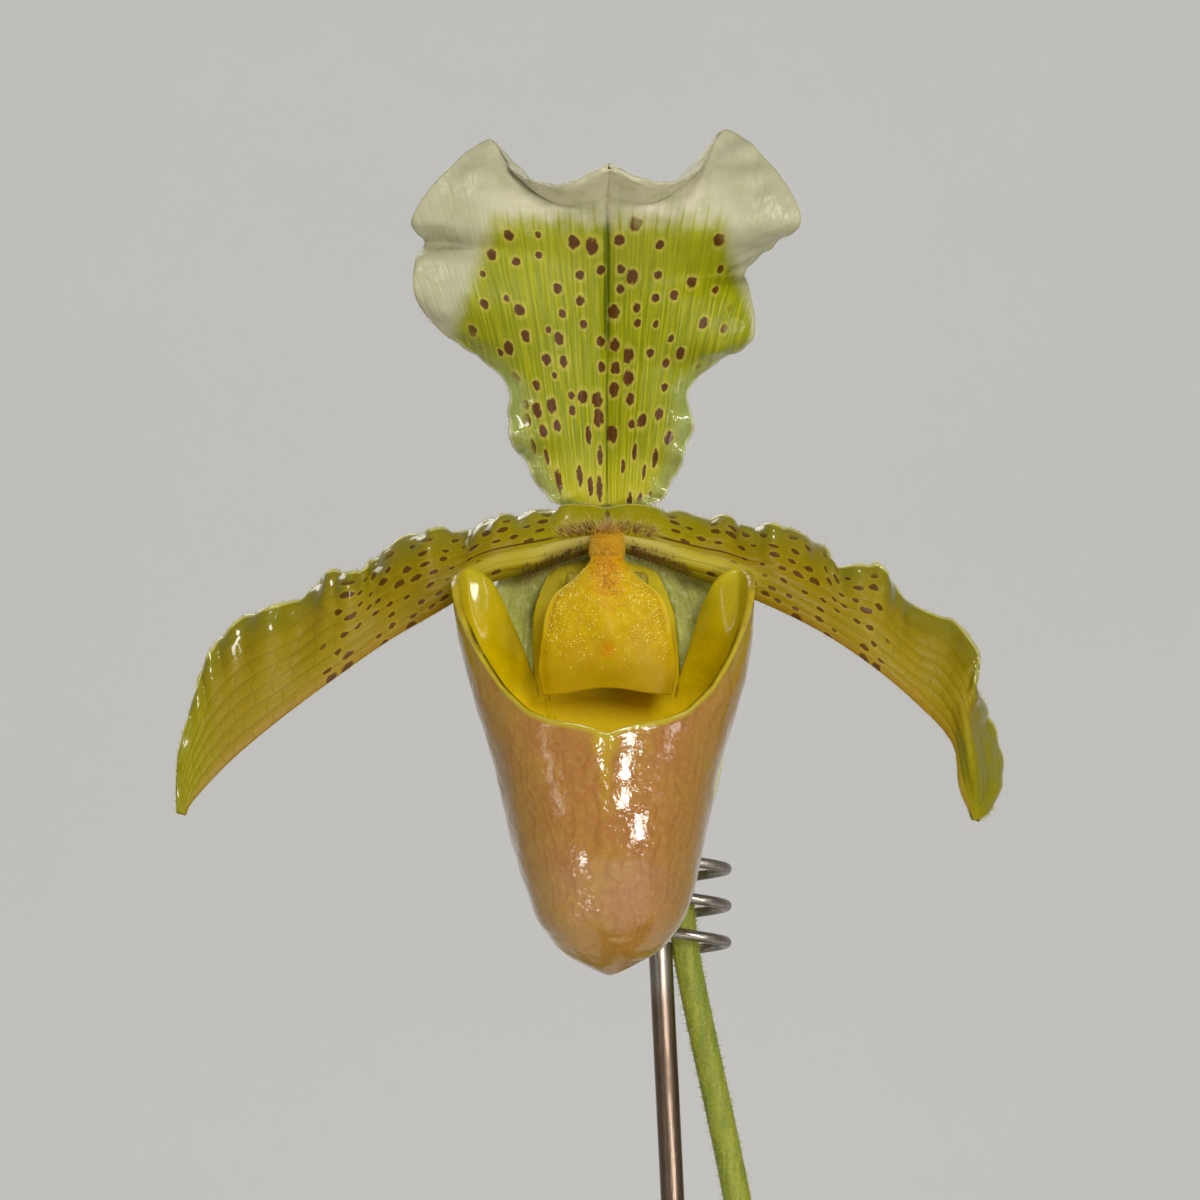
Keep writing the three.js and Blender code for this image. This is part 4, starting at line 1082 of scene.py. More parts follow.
columnFacts = {
    "path": [[0, 1.2, -0.9], [0, -2.4, -1.7], [0, -5.6, -2.8], [0, -8.2, -4.2]],
    "radii": [2, 2.1, 2.2, 1.7],
    "stalk": {"radius": 1.7, "depth": 5.4, "place": [0, -4, -4.4]},
    "stigma": {"radius": 3, "scale": (1, 1.15, 0.42), "lean": 24, "place": [0, -4.4, -7.2]},
    "anther": {"radius": 1.3, "scale": (0.8, 1.1, 0.96), "place": [3.95, -4.2, -6.1]},
    "grid": (32, 40),
    "rounded": (0.12, 0.12),  # share of its length at each end
    "grain": 0.28,  # size of the cells that fuse the pieces into one body
    "furrow": (0.22, 0.3),  # depth and half width of an anther's furrow, the depth as a share
    "colours": {
        "deep": (204, 148, 0), "pale": (218, 172, 2),
    },
}


def ball(name, radius, scale, place, lean=0, segments=32):
    bpy.ops.object.select_all(action="DESELECT")
    bpy.ops.mesh.primitive_uv_sphere_add(
        segments=segments, ring_count=segments // 2, radius=radius * mm, scale=scale,
        rotation=(math.radians(lean), 0, 0), location=(np.array(place) + flowerCentre) * mm,
    )
    return settled(newest(name))


def fused(piece, grain):  # one skin round overlapping bodies
    applied(piece, "REMESH", mode="VOXEL", voxel_size=grain * mm, use_smooth_shade=True)
    return applied(piece, "SMOOTH", factor=0.5, iterations=3)


def columnFinish():
    f = Finish("column")
    c = columnFacts["colours"]
    x, y, z = f.places(flowerCentre)
    grain = f.noise((x, y, z), 1.8, 4, 0.65)
    colour = f.mix(grain.between(0.35, 0.7), c["deep"], c["pale"])
    return f.surface({"Base Color": colour, "Roughness": 0.5, "Normal": f.bump(grain, 0.3), **softFlesh(0.2, 1.0)})


greenTones = {  # light and dark
    "anther": [(158, 140, 20), (136, 118, 14)],
    "ovary": [(120, 138, 52), (92, 112, 34)],
    "bract": [(140, 158, 74), (98, 124, 44)],
    "scape": [(150, 154, 36), (118, 132, 22)],
    "fleck": (196, 200, 90),
    "blush": (128, 84, 50),
    "seat": (178, 158, 2),
}


def greenFinish(kind, ribs=0.0, blush=0.0, seat=False):
    light, dark = greenTones[kind]
    f = Finish(kind + "_skin")
    x, y, z = f.places()
    u, _ = f.plan()
    along = f.noise((x, y, z * 0.12), 1.4, 3)
    fine = f.noise((x, y, z), 2.4, 4, 0.65)
    colour = f.mix(along.between(0.35, 0.68), light, dark)
    colour = f.mix(fine.between(0.5, 0.78) * 0.4, colour, greenTones["fleck"])
    flushed = f.noise((x, y, z), 0.09, 2).between(0.45, 0.75) * blush
    colour = f.mix(flushed, colour, greenTones["blush"])
    height = fine
    if ribs:
        vein = (u * ribs).stripes(0.5, 1.0)
        colour = f.mix(vein * 0.4, colour, dark)
        height = fine + vein * 0.6
    if seat:  # the ovary's end is yellow among the petals
        centre = f.places(flowerCentre)
        colour = f.mix(centre[1].between(7.6, 5.4) * centre[2].between(-5, -3), colour, greenTones["seat"])
    normal = f.bump(height, 0.16)
    return f.surface({"Base Color": colour, "Roughness": 0.42 + fine * 0.2, "Normal": normal, **softFlesh(0.1, 1.0)})


print("column and ovary")
columnFace = columnFinish()
columnTube = tube(
    columnFacts["path"], lambda t, angle: through(columnFacts["radii"], t, level=True), columnFacts["rounded"]
)
trunk = sheet("trunk", columnFacts["grid"], columnTube, flowerCentre, facing=None, closed=True)
stigmaFacts, stalkFacts, antherFacts = columnFacts["stigma"], columnFacts["stalk"], columnFacts["anther"]
stigma = ball("stigma", stigmaFacts["radius"], stigmaFacts["scale"], stigmaFacts["place"], stigmaFacts["lean"])
bpy.ops.mesh.primitive_cylinder_add(
    vertices=24, radius=stalkFacts["radius"] * mm, depth=stalkFacts["depth"] * mm,
    location=(np.array(stalkFacts["place"]) + flowerCentre) * mm,
)
stalk = settled(newest("stalk"))
column = fused(joined("column_fine", [trunk, stigma, stalk]), columnFacts["grain"])
dressed(column, columnFace, node="column")
antherFace = greenFinish("anther")
furrowDepth, furrowWidth = columnFacts["furrow"]
for hand, name in ((-1, "anther_left"), (1, "anther_right")):
    px, py, pz = antherFacts["place"]
    anther = ball(name + "_fine", antherFacts["radius"], antherFacts["scale"], [hand * px, py, pz])
    points = readPoints(anther)
    middle = points.mean(0)
    pinch = 1 - furrowDepth * bell((points[:, 0] - middle[0]) / mm, 0, furrowWidth)
    points[:, 1:] = middle[1:] + (points[:, 1:] - middle[1:]) * pinch[:, None]  # the furrow between its two sacs
    writePoints(anther, points)
    bpy.ops.object.shade_smooth()
    dressed(anther, antherFace, node=name)

ovaryFacts = {
    "path": [[7.2, 11, -34.6], [5.6, 12, -24], [3.4, 12.2, -14], [1.2, 10.6, -5.4], [0.2, 7.6, -1], [0, 5, 0]],
    "radii": [1.6, 2, 2.6, 3, 2.9, 2.6],
    "ribs": 6,
    "ribDepth": 0.07,
    "seat": {"radius": 3.1, "scale": (1, 0.9, 1), "place": [0, 4.4, 0]},
    "grid": (72, 120),
    "grain": 0.34,
}


def ovaryRadius(t, angle):
    rib = 1 + ovaryFacts["ribDepth"] * np.cos(ovaryFacts["ribs"] * angle)
    return through(ovaryFacts["radii"], t, level=True) * rib


ovaryTube = tube(ovaryFacts["path"], ovaryRadius, (0.03, 0.0))
ovaryBody = sheet("ovary_body", ovaryFacts["grid"], ovaryTube, flowerCentre, facing=None, closed=True)
ovarySeat = ball("seat", **ovaryFacts["seat"])
ovary = fused(joined("ovary_fine", [ovaryBody, ovarySeat]), ovaryFacts["grain"])
dressed(ovary, greenFinish("ovary", blush=0.4, seat=True), node="ovary")

bractFacts = {
    "path": [[7.9, 11, -38.4], [6.6, 11.8, -30], [5.2, 13, -20], [3.6, 15.4, -10], [2.4, 18.4, -3]],
    "radii": [2.6, 3.9, 4.6, 4, 0.8],
    "halfAngles": [165, 140, 110, 80, 60],
    "grid": (48, 70),
    "thickness": 0.7,
    "ribs": 16,
}


def bractSurface(side, t):
    path = through(bractFacts["path"], t)
    tangent = unit(through(bractFacts["path"], t + 0.01) - through(bractFacts["path"], t - 0.01))
    outward = unit(np.array([0, 1, 0]) - tangent * tangent[:, 1:2])
    across = np.cross(tangent, outward)
    radius = through(bractFacts["radii"], t, level=True)[:, None]
    angle = (side * np.radians(through(bractFacts["halfAngles"], t, level=True)))[:, None]
    return path + outward * radius * np.cos(angle) + across * radius * np.sin(angle)


bract = sheet("bract_fine", bractFacts["grid"], bractSurface, flowerCentre, facing=(0, 1, 0))
thicken(bract, bractFacts["thickness"], [greenFinish("bract", ribs=bractFacts["ribs"], blush=0.3)])
dressed(bract, node="bract")


# Scape and stake

scapeFacts = {
    "path": [
        [14, 6, barkLevel - 12.7], [14, 6, 102], [14, 6, 124], [12.2, 5.8, 150], [7.6, 5.2, 186], [1.4, 4.6, 224],
        [-6.2, 3.8, 264], [-12, 3, 292], [-13.3, 3, 304], [-14.6, 3, 310],
    ],
    "baseRadius": 2.2,
    "topRadius": 1.65,
    "grid": (28, 260),
}


def scapeRadius(t, angle):
    wobble = 1 + 0.02 * np.sin(3 * angle + 14 * t)
    return lerp(scapeFacts["baseRadius"], scapeFacts["topRadius"], smooth(t, 0, 0.9)) * wobble


print("scape and stake")
scapeTube = tube(scapeFacts["path"], scapeRadius, (0.004, 0.006), samples=500)
scape = sheet("scape_fine", scapeFacts["grid"], scapeTube, plantFoot, facing=None, closed=True)
dressed(scape, greenFinish("scape"), node="scape")

stakeFacts = {
    "rodRadius": 1.45,
    "rodTop": [-15.5, 2.6, 294.8],
    "lean": 0.049,
    "sunkTo": 38,
    "coilRadius": 4.3,
    "wireRadius": 0.68,
    "coilAxis": [-11.7, 3],
    "coilStart": 292.4,
    "pitch": 4.5,
    "turns": 2.85,
    "coilSteps": 170,
    "bevel": 0.5,
    "colours": {
        "drawn": (150, 140, 128), "bright": (178, 170, 160), "brown": (126, 100, 80), "tarnish": (92, 70, 54),
    },
}


def stakePiece():
    facts = stakeFacts
    top = Vector(facts["rodTop"])
    drop = top.z - facts["sunkTo"]
    foot = Vector((top.x + facts["lean"] * drop, top.y, facts["sunkTo"]))
    length = (top - foot).length
    bpy.ops.object.select_all(action="DESELECT")
    bpy.ops.mesh.primitive_cylinder_add(
        vertices=32, radius=facts["rodRadius"] * mm, depth=length * mm, location=(top + foot) / 2 * mm,
        rotation=(top - foot).to_track_quat("Z", "Y").to_euler(),
    )
    rod = settled(newest("rod"))
    applied(rod, "BEVEL", width=facts["bevel"] * mm, segments=4, limit_method="ANGLE", angle_limit=math.radians(60))
    bpy.ops.object.select_all(action="DESELECT")
    bpy.ops.mesh.primitive_circle_add(
        vertices=20, radius=facts["wireRadius"] * mm, fill_type="NGON", rotation=(math.pi / 2, 0, 0),
        location=(-facts["coilRadius"] * mm, 0, 0),
    )
    coil = settled(newest("coil"))
    applied(
        coil, "SCREW", angle=-facts["turns"] * fullTurn, screw_offset=facts["turns"] * facts["pitch"] * mm,
        steps=facts["coilSteps"], render_steps=facts["coilSteps"], iterations=1, axis="Z", use_merge_vertices=False,
    )
    points = readPoints(coil)
    writePoints(coil, points + np.array([*facts["coilAxis"], facts["coilStart"]]) * mm)
    edited(coil, lambda: bpy.ops.mesh.normals_make_consistent(inside=False))
    piece = joined("stake_fine", [rod, coil])
    bpy.ops.object.shade_smooth_by_angle(angle=math.radians(50))
    return piece


def steelFinish():
    f = Finish("steel_wire")
    c = stakeFacts["colours"]
    x, y, z = f.places()
    drawn = f.noise((x * 4, y * 4, z * 0.25), 1.0, 4, 0.6)
    tarnish = f.noise((x, y, z), 0.12, 4, 0.6)
    colour = f.mix(drawn.between(0.3, 0.7), c["drawn"], c["bright"])
    colour = f.mix(z.between(292, 286) * 0.75, colour, c["brown"])
    colour = f.mix(tarnish.between(0.45, 0.68) * z.between(296, 288) * 0.5, colour, c["tarnish"])
    rough = 0.24 + drawn * 0.14 + tarnish.between(0.5, 0.75) * 0.2
    return f.surface({"Base Color": colour, "Metallic": 1.0, "Roughness": rough, "Normal": f.bump(drawn, 0.03)})


dressed(stakePiece(), steelFinish(), node="stake")


# Leaves: straps that clasp each other in two fans and arch over

leafFacts = {
    "grid": (30, 90),
    "steps": 60,  # of the path that it follows
    "thickness": 1.0,
    "gap": 0.6,  # between two leaves at their foot
    "depth": 13,  # of the foot in the bark
    "baseAngle": 93,  # half of the arc that it clasps with, and half of the arc when it has opened
    "openAngle": 24,
    "fold": 0.09,
    "keel": 0.55,
    "veins": 11,
    "veinHeight": 0.05,
    "wave": (0.18, 26, 40),  # height, size and seed
    "upper": {"deep": (40, 78, 22), "fresh": (66, 106, 34), "midrib": (34, 66, 18), "freckles": 0.3, "rough": 0.3},
    "under": {"deep": (92, 122, 62), "fresh": (120, 146, 78), "midrib": (104, 140, 58), "freckles": 0.8, "rough": 0.5},
    "colours": {
        "streak": (78, 118, 44), "vein": (110, 144, 70), "edge": (138, 160, 80), "foot": (170, 178, 112),
        "freckle": (96, 50, 62), "tip": (148, 112, 52),
    },
}
fans = [
    {
        "name": "fan1", "x": 14, "y": 6, "innerRadius": 2.75,
        # side, turn, length, width, startLean, endLean, sheath
        "leaves": [
            [-82, 40, 172, 24, 12, 118, 12], [98, -58, 190, 26, 9, 116, 17], [-82, 52, 214, 28, 6, 104, 24],
            [98, -40, 222, 28, 4, 100, 31], [-82, 22, 205, 27, 3, 82, 38], [98, -20, 180, 25, 2, 66, 45],
        ],
    },
    {
        "name": "fan2", "x": -25, "y": 9, "innerRadius": 1.35,
        "leaves": [
            [97, 62, 168, 24, 12, 120, 10], [-83, -52, 186, 25, 9, 114, 15], [97, 38, 206, 27, 6, 100, 22],
            [-83, -34, 196, 26, 4, 88, 29], [97, 16, 158, 22, 2, 58, 34],
        ],
    },
]


def leafSurface(fan, leaf, radius):
    side0, drift, length, width, startLean, endLean, sheath = leaf
    steps = leafFacts["steps"]
    place = np.array([fan["x"], fan["y"], barkLevel - leafFacts["depth"] + 0.3])
    places, uppers, acrosses = [], [], []
    for i in range(steps + 1):
        t = i / steps
        heading = math.radians(side0 + drift * smooth(t, 0.08, 1))
        past = max(0, t * length - sheath) / (length - sheath)
        climb = smooth(t * length, leafFacts["depth"], leafFacts["depth"] + sheath)
        lean = math.radians(lerp(startLean, endLean, past**1.15) * climb)
        out = np.array([math.cos(heading), math.sin(heading), 0])
        if i == 0:
            place = place + out * radius
        direction = out * math.sin(lean) + np.array([0, 0, math.cos(lean)])
        upper = out * -math.cos(lean) + np.array([0, 0, math.sin(lean)])
        places.append(place)
        uppers.append(upper)
        acrosses.append(np.cross(direction, upper))
        place = place + direction * (length / steps)
    baseHalf, openHalf = math.radians(leafFacts["baseAngle"]), math.radians(leafFacts["openAngle"])
    share = sheath / length

    def surface(side, s):
        t = 1 - (1 - s) ** 1.35  # rows crowd towards the tip
        opened = smooth(t, share * 0.6, share * 0.6 + 0.42)
        belly = np.sin(math.pi * np.minimum(1, 0.22 + 0.5 * t)) ** 0.6
        taper = np.sqrt(1 - np.maximum(0, (t - 0.5) / 0.5015) ** 2.6)
        wide = lerp(2 * baseHalf * radius, width * belly, opened) * taper
        half = lerp(baseHalf, openHalf, opened)
        arc = np.maximum(wide, 1.2) / (2 * half)
        fold = leafFacts["fold"] * opened * wide
        lift = arc * (1 - np.cos(side * half)) + fold * (np.sqrt(side**2 + 0.004) - 0.5)
        across = (arc * np.sin(side * half))[:, None]
        return through(places, t) + unit(through(acrosses, t)) * across + unit(through(uppers, t)) * lift[:, None]

    return surface


def leafRelief(side, s, points):
    groove = leafFacts["keel"] * bell(side, 0, 0.055) * smooth(s, 0.08, 0.25) * smooth(s, 1, 0.9)
    height, size, seed = leafFacts["wave"]
    veins = leafFacts["veinHeight"] * np.cos(side * leafFacts["veins"] * math.pi)
    return height * crinkle(points, size, seed) - groove + veins


def leafFinish(face):
    own, c = leafFacts[face], leafFacts["colours"]
    f = Finish("leaf_" + face)
    x, y, z = f.places()
    u, v = f.plan()
    share = (u - 0.5).size() * 2
    lane = u * leafFacts["veins"] * 3
    vein = lane.stripes(0.5, 1.0)
    blotch = f.noise((x, y, z), 0.03, 3, 0.6)
    streak = f.noise((u * 40, v * 9), 1.0, 3)
    cell = f.noise((x, y, z), 1.3, 3, 0.6)
    colour = f.mix(blotch.between(0.35, 0.68), own["deep"], own["fresh"])
    colour = f.mix(streak.between(0.4, 0.7) * 0.35, colour, c["streak"])
    colour = f.mix(vein * 0.16, colour, c["vein"])
    colour = f.mix(share.between(0.07, 0.015) * 0.5, colour, own["midrib"])
    colour = f.mix(share.between(0.94, 0.995) * 0.5, colour, c["edge"])
    colour = f.mix(v.between(0.16, 0.02) * 0.7, colour, c["foot"])
    dots = f.dots((x, y, z), 0.9)
    freckle = dots.between(0.3, 0.18) * v.between(0.2, 0.05) * own["freckles"]
    colour = f.mix(freckle, colour, c["freckle"])
    tip = f.noise((x, y, z), 0.2, 3) * 0.03 + v
    colour = f.mix(tip.between(1.0, 1.02) * 0.7, colour, c["tip"])
    normal = f.bump(vein * 0.4 + cell * 0.6, 0.12)
    rough = own["rough"] + cell * 0.14
    return f.surface({"Base Color": colour, "Roughness": rough, "Normal": normal, **softFlesh(0.08, 1.5)})


print("leaves")
leafFaces = [leafFinish("upper"), leafFinish("under")]
for fan in fans:
    count = len(fan["leaves"])
    for i, leaf in enumerate(fan["leaves"]):
        thickness = leafFacts["thickness"]
        radius = fan["innerRadius"] + thickness / 2 + (thickness + leafFacts["gap"]) * (count - 1 - i)
        name = f"{fan['name']}_leaf{i + 1}"
        out = math.radians(leaf[0] + leaf[1] * 0.5)
        inward = (-math.cos(out), -math.sin(out), 0.6)
        surface = leafSurface(fan, leaf, radius)
        strap = sheet(name + "_fine", leafFacts["grid"], surface, plantFoot, relief=leafRelief, facing=inward)
        thicken(strap, thickness, leafFaces)
        dressed(strap, node=name)


# Pot, turned from its profile, with drain holes

potFacts = {
    "profile": [
        [0, 0], [39.5, 0], [41, 1.5], [54, 82], [58, 83.5], [60.5, 104], [59, 106], [56.4, 106], [54.9, 104.5],
        [49.4, 80], [37.4, 7], [0, 7],
    ],
    "segments": 128,
    "drains": 4,
    "drainRadius": 5,
    "drainRing": 24,
    "bevel": 1.1,
    "wheelMarks": 0.12,
    "wave": (0.1, 40, 51),  # height, size and seed
    "colours": {
        "deep": (176, 98, 64), "pale": (196, 122, 84), "grit": (156, 80, 50), "turned": (206, 140, 104),
        "bloom": (216, 190, 168), "rimBandDark": (134, 72, 46), "pore": (120, 62, 42),
    },
}


def potPiece():
    facts = potFacts
    corners = facts["profile"]
    bpy.ops.object.select_all(action="DESELECT")
    bpy.ops.mesh.primitive_circle_add(vertices=len(corners), radius=1)
    pot = newest("pot_fine")
    writePoints(pot, np.array([[r, 0, z] for r, z in corners]) * mm)
    alone(pot)
    closing = len(corners) - 1  # the edge along the axis isn't turned
    bpy.ops.object.mode_set(mode="EDIT")
    bpy.ops.mesh.select_mode(type="EDGE")
    bpy.ops.mesh.select_all(action="DESELECT")
    bpy.ops.object.mode_set(mode="OBJECT")
    for edge in pot.data.edges:
        edge.select = set(edge.vertices) == {0, closing}
    bpy.ops.object.mode_set(mode="EDIT")
    bpy.ops.mesh.delete(type="EDGE")
    bpy.ops.mesh.select_mode(type="VERT")
    bpy.ops.object.mode_set(mode="OBJECT")
    edited(
        pot,
        lambda: bpy.ops.mesh.spin(
            steps=facts["segments"], angle=fullTurn, center=(0, 0, 0), axis=(0, 0, 1), dupli=False
        ),
        lambda: bpy.ops.mesh.remove_doubles(threshold=0.01 * mm),
        lambda: bpy.ops.mesh.normals_make_consistent(inside=False),
    )
    for i in range(facts["drains"]):
        angle = fullTurn * (i + 0.5) / facts["drains"]
        bpy.ops.object.select_all(action="DESELECT")
        bpy.ops.mesh.primitive_cylinder_add(
            vertices=32, radius=facts["drainRadius"] * mm, depth=30 * mm,
            location=(facts["drainRing"] * mm * math.cos(angle), facts["drainRing"] * mm * math.sin(angle), 0),
        )
        drill = settled(newest("drill"))
        applied(pot, "BOOLEAN", operation="DIFFERENCE", object=drill, solver="EXACT")
        bpy.data.objects.remove(drill)
    applied(pot, "BEVEL", width=facts["bevel"] * mm, segments=3, limit_method="ANGLE", angle_limit=math.radians(28))
    points = readPoints(pot)
    away = unit(points * [1, 1, 0])
    height, size, seed = facts["wave"]
    throw = facts["wheelMarks"] * np.sin(points[:, 2] / mm * 1.9) + height * crinkle(points / mm, size, seed)
    writePoints(pot, points + away * (throw * smooth(points[:, 2] / mm, 3, 8))[:, None] * mm)
    alone(pot)
    bpy.ops.object.shade_smooth_by_angle(angle=math.radians(42))
    return pot


def clayFinish():
    f = Finish("terracotta")
    c = potFacts["colours"]
    x, y, z = f.places()
    big = f.noise((x, y, z), 0.022, 4, 0.6)
    wash = f.noise((x, y, z * 0.35), 0.06, 5, 0.65)
    grit = f.noise((x, y, z), 1.2, 4, 0.7)
    pores = f.dots((x, y, z), 0.55)
    turned = f.noise((x * 0.02, y * 0.02, z), 1.1, 3)
    colour = f.mix(big.between(0.35, 0.66), c["deep"], c["pale"])
    colour = f.mix(grit.between(0.5, 0.75) * 0.35, colour, c["grit"])
    colour = f.mix(turned.between(0.45, 0.7) * 0.22, colour, c["turned"])
    bloom = wash.between(0.5, 0.72) * (z.between(70, 104) * 0.55 + z.between(24, 2) * 0.5 + 0.16)
    colour = f.mix(bloom, colour, c["bloom"])
    # A darker mottled band on the underside of the rim and just below it
    colour = f.mix(z.between(84.5, 80) * z.between(70, 80) * wash.between(0.3, 0.6) * 0.4, colour, c["rimBandDark"])
    colour = f.mix(pores.between(0.16, 0.08) * 0.5, colour, c["pore"])
    height = grit * 0.5 + turned * 0.6 - pores.between(0.2, 0.08) * 0.8
    return f.surface({"Base Color": colour, "Roughness": 0.82 + grit * 0.1, "Normal": f.bump(height, 0.3)})


print("pot")
dressed(potPiece(), clayFinish(), node="pot")


# Bark mix: a mass of dark mix under loose chips

barkFacts = {
    "level": barkLevel,
    "crown": 4,
    "bedDrop": 3,  # how far the bed lies under the level that the chips make
    "bedDepth": 60,
    "wave": (0.8, 7, 60),  # height, size and seed
    "reach": 51.5,
    "foot": 30,
    "footShare": 0.76,
    "chips": 330,
    "kinds": 9,
    "chipLength": [9, 19],
    "chipWidth": [6, 12],
    "chipThickness": [2.6, 5.2],
    "chipDrop": 1.6,
    "chipLift": [-0.8, 2.6],
    "chipTilt": [0.26, 0.24],
    "rim": 0.86,  # share of the reach from where chips lie along the pot's wall
    "colours": {
        "dark": (88, 56, 36), "light": (132, 88, 56), "dry": (158, 112, 74), "wet": (58, 36, 26),
        "fibre": (60, 38, 26),
    },
}


def chipShape(random, number):  # a split flake of bark, blunt at its corners
    bpy.ops.object.select_all(action="DESELECT")
    bpy.ops.mesh.primitive_cube_add(size=1)
    chip = newest(f"chip_shape{number}")
    edited(chip, lambda: bpy.ops.mesh.subdivide(number_cuts=2))
    points = readPoints(chip)
    points[:, 0] *= 1 - 0.22 * (points[:, 2] + 0.5)
    points[:, 1] *= 1 - 0.3 * (points[:, 0] + 0.5)
    corner = np.clip(np.linalg.norm(points, axis=1) / 0.72, 0.9, 1.3)
    points = points / corner[:, None] ** 0.8
    points += 0.055 * random.normal(size=points.shape)
    writePoints(chip, points)
    writePlan(chip, points[:, :2] + 0.5)
    return chip


def barkPiece():
    facts = barkFacts
    random = np.random.default_rng(17)
    bpy.ops.object.select_all(action="DESELECT")
    bpy.ops.mesh.primitive_grid_add(x_subdivisions=64, y_subdivisions=64, size=2)
    bed = newest("bark_bed")
    flat = readPoints(bed)
    square = np.maximum(np.abs(flat[:, 0]), np.abs(flat[:, 1]))
    points = unit(flat * [1, 1, 0]) * square[:, None] * facts["reach"]
    height, size, seed = facts["wave"]
    crown = facts["crown"] * (1 - square**2)
    points[:, 2] = facts["level"] - facts["bedDrop"] + crown + height * crinkle(points, size, seed)
    writePoints(bed, points * mm)
    bed.data.uv_layers[0].name = "plan"
    faceOut(bed, (0, 0, 1))
    applied(bed, "SOLIDIFY", thickness=facts["bedDepth"] * mm, offset=-1)
    points = readPoints(bed)
    half = len(points) // 2  # the second half lies under the first
    points[half:, :2] = points[:half, :2] * facts["footShare"]
    points[half:, 2] = facts["foot"] * mm
    writePoints(bed, points)
    pieces = [bed]
    kinds = [chipShape(random, k) for k in range(facts["kinds"])]
    golden = math.pi * (3 - math.sqrt(5))
    placed = [[] for _ in kinds]
    for i in range(facts["chips"]):
        share = math.sqrt((i + 0.5) / facts["chips"])
        angle = i * golden + random.uniform(-0.3, 0.3)
        size = np.array([random.uniform(*facts[k]) for k in ("chipLength", "chipWidth", "chipThickness")])
        radius = min((facts["reach"] + 1) * share, facts["reach"] - size[1] * 0.42)
        crown = facts["crown"] * (1 - share**2)
        z = facts["level"] - facts["chipDrop"] + crown + random.uniform(*facts["chipLift"])
        along = share > facts["rim"]
        yaw = angle + math.pi / 2 + random.uniform(-0.3, 0.3) if along else random.uniform(0, fullTurn)
        roll, pitch = [random.normal() * most for most in facts["chipTilt"]]
        tilt = Matrix.Rotation(roll, 3, "X") @ Matrix.Rotation(pitch, 3, "Y")
        spin = np.array(Matrix.Rotation(yaw, 3, "Z") @ tilt)
        kind = i % facts["kinds"]
        points = (readPoints(kinds[kind]) * size) @ spin.T
        placed[kind].append(points + [math.cos(angle) * radius, math.sin(angle) * radius, z])
    for kind, shape in enumerate(kinds):
        pieces.append(gathered(f"chips{kind}", shape, np.array(placed[kind]) * mm))
        bpy.data.objects.remove(shape)
    for piece in pieces[1:]:
        alone(piece)
        bpy.ops.object.shade_flat()
    return joined("bark_fine", pieces)


def barkFinish():
    f = Finish("bark_chips")
    c = barkFacts["colours"]
    x, y, z = f.places()
    geometry = f.node("ShaderNodeNewGeometry", output="Random Per Island")
    shade = f.noise((x, y, z), 0.09, 4, 0.6)
    fibre = f.noise((x, y * 0.3, z), 0.9, 5, 0.7)
    colour = f.mix(shade.between(0.35, 0.65), c["dark"], c["light"])
    colour = f.mix(geometry.between(0.55, 0.95) * 0.6, colour, c["dry"])
    colour = f.mix(geometry.between(0.45, 0.1) * 0.6, colour, c["wet"])
    colour = f.mix(fibre.between(0.5, 0.75) * 0.5, colour, c["fibre"])
    return f.surface({"Base Color": colour, "Roughness": 0.9, "Normal": f.bump(fibre, 0.7)})


print("bark")
dressed(barkPiece(), barkFinish(), node="bark")


# Hairs: pale ones along the margins and stems, maroon ones where the petals meet

hairFacts = {
    "tones": {  # root and tip
        "pale": [(206, 206, 176), (240, 238, 224)],
        "olive": [(176, 170, 60), (222, 216, 150)],
        "stem": [(160, 158, 60), (222, 220, 160)],
        "maroon": [(128, 62, 14), (236, 204, 116)],
        "dark": [(70, 32, 12), (128, 84, 30)],
        "gold": [(208, 142, 2), (238, 196, 60)],
    },
    # along a margin or round a stem; span is the part of its length that has hairs
    "sepalFringe": {"tone": "pale", "count": 1200, "reach": (0.3, 0.8), "width": 0.035, "spread": 0.3, "span": (0, 1)},
    "petalFringe": {
        "tone": "olive", "count": 1300, "reach": (0.35, 0.95), "width": 0.035, "spread": 0.35, "span": (0, 1),
    },
    "petalHem": {"tone": "olive", "count": 700, "reach": (0.2, 0.6), "width": 0.03, "spread": 0.35, "span": (0.3, 1)},
    "scapeDown": {"tone": "stem", "count": 7000, "reach": (0.3, 0.85), "width": 0.045, "span": (0.08, 0.99)},
    "ovaryDown": {"tone": "stem", "count": 1700, "reach": (0.3, 0.8), "width": 0.04, "span": (0.02, 0.9)},
    # in tufts; all of them bend by the fall
    "crest": {
        "tone": "maroon", "count": 340, "spread": 0.2, "reach": (0.9, 1.7), "curl": 0.25, "fall": (0, 0, 0.1),
        "width": 0.045,
    },
    "beard": {
        "tone": "dark", "count": 110, "spread": 0.4, "reach": (1.0, 2.1), "curl": 0.5, "fall": (0, 0, -0.3),
        "width": 0.045,
    },
    "columnDown": {
        "tone": "gold", "count": 1500, "spread": 0.6, "reach": (0.3, 0.8), "curl": 0.3, "fall": (0, 0, 0),
        "width": 0.04,
    },
    "sepalTuft": {
        "tone": "olive", "count": 30, "spread": 0.4, "reach": (0.5, 0.9), "curl": 0.3, "fall": (0, 0, 0),
        "width": 0.04,
    },
}


def hairFinish(tone):
    root, tip = hairFacts["tones"][tone]
    f = Finish("hair_" + tone)
    _, v = f.plan()
    colour = f.mix(v.between(0.15, 0.8), root, tip)
    return f.surface({"Base Color": colour, "Roughness": 0.45, **softFlesh(0.2, 0.6)})


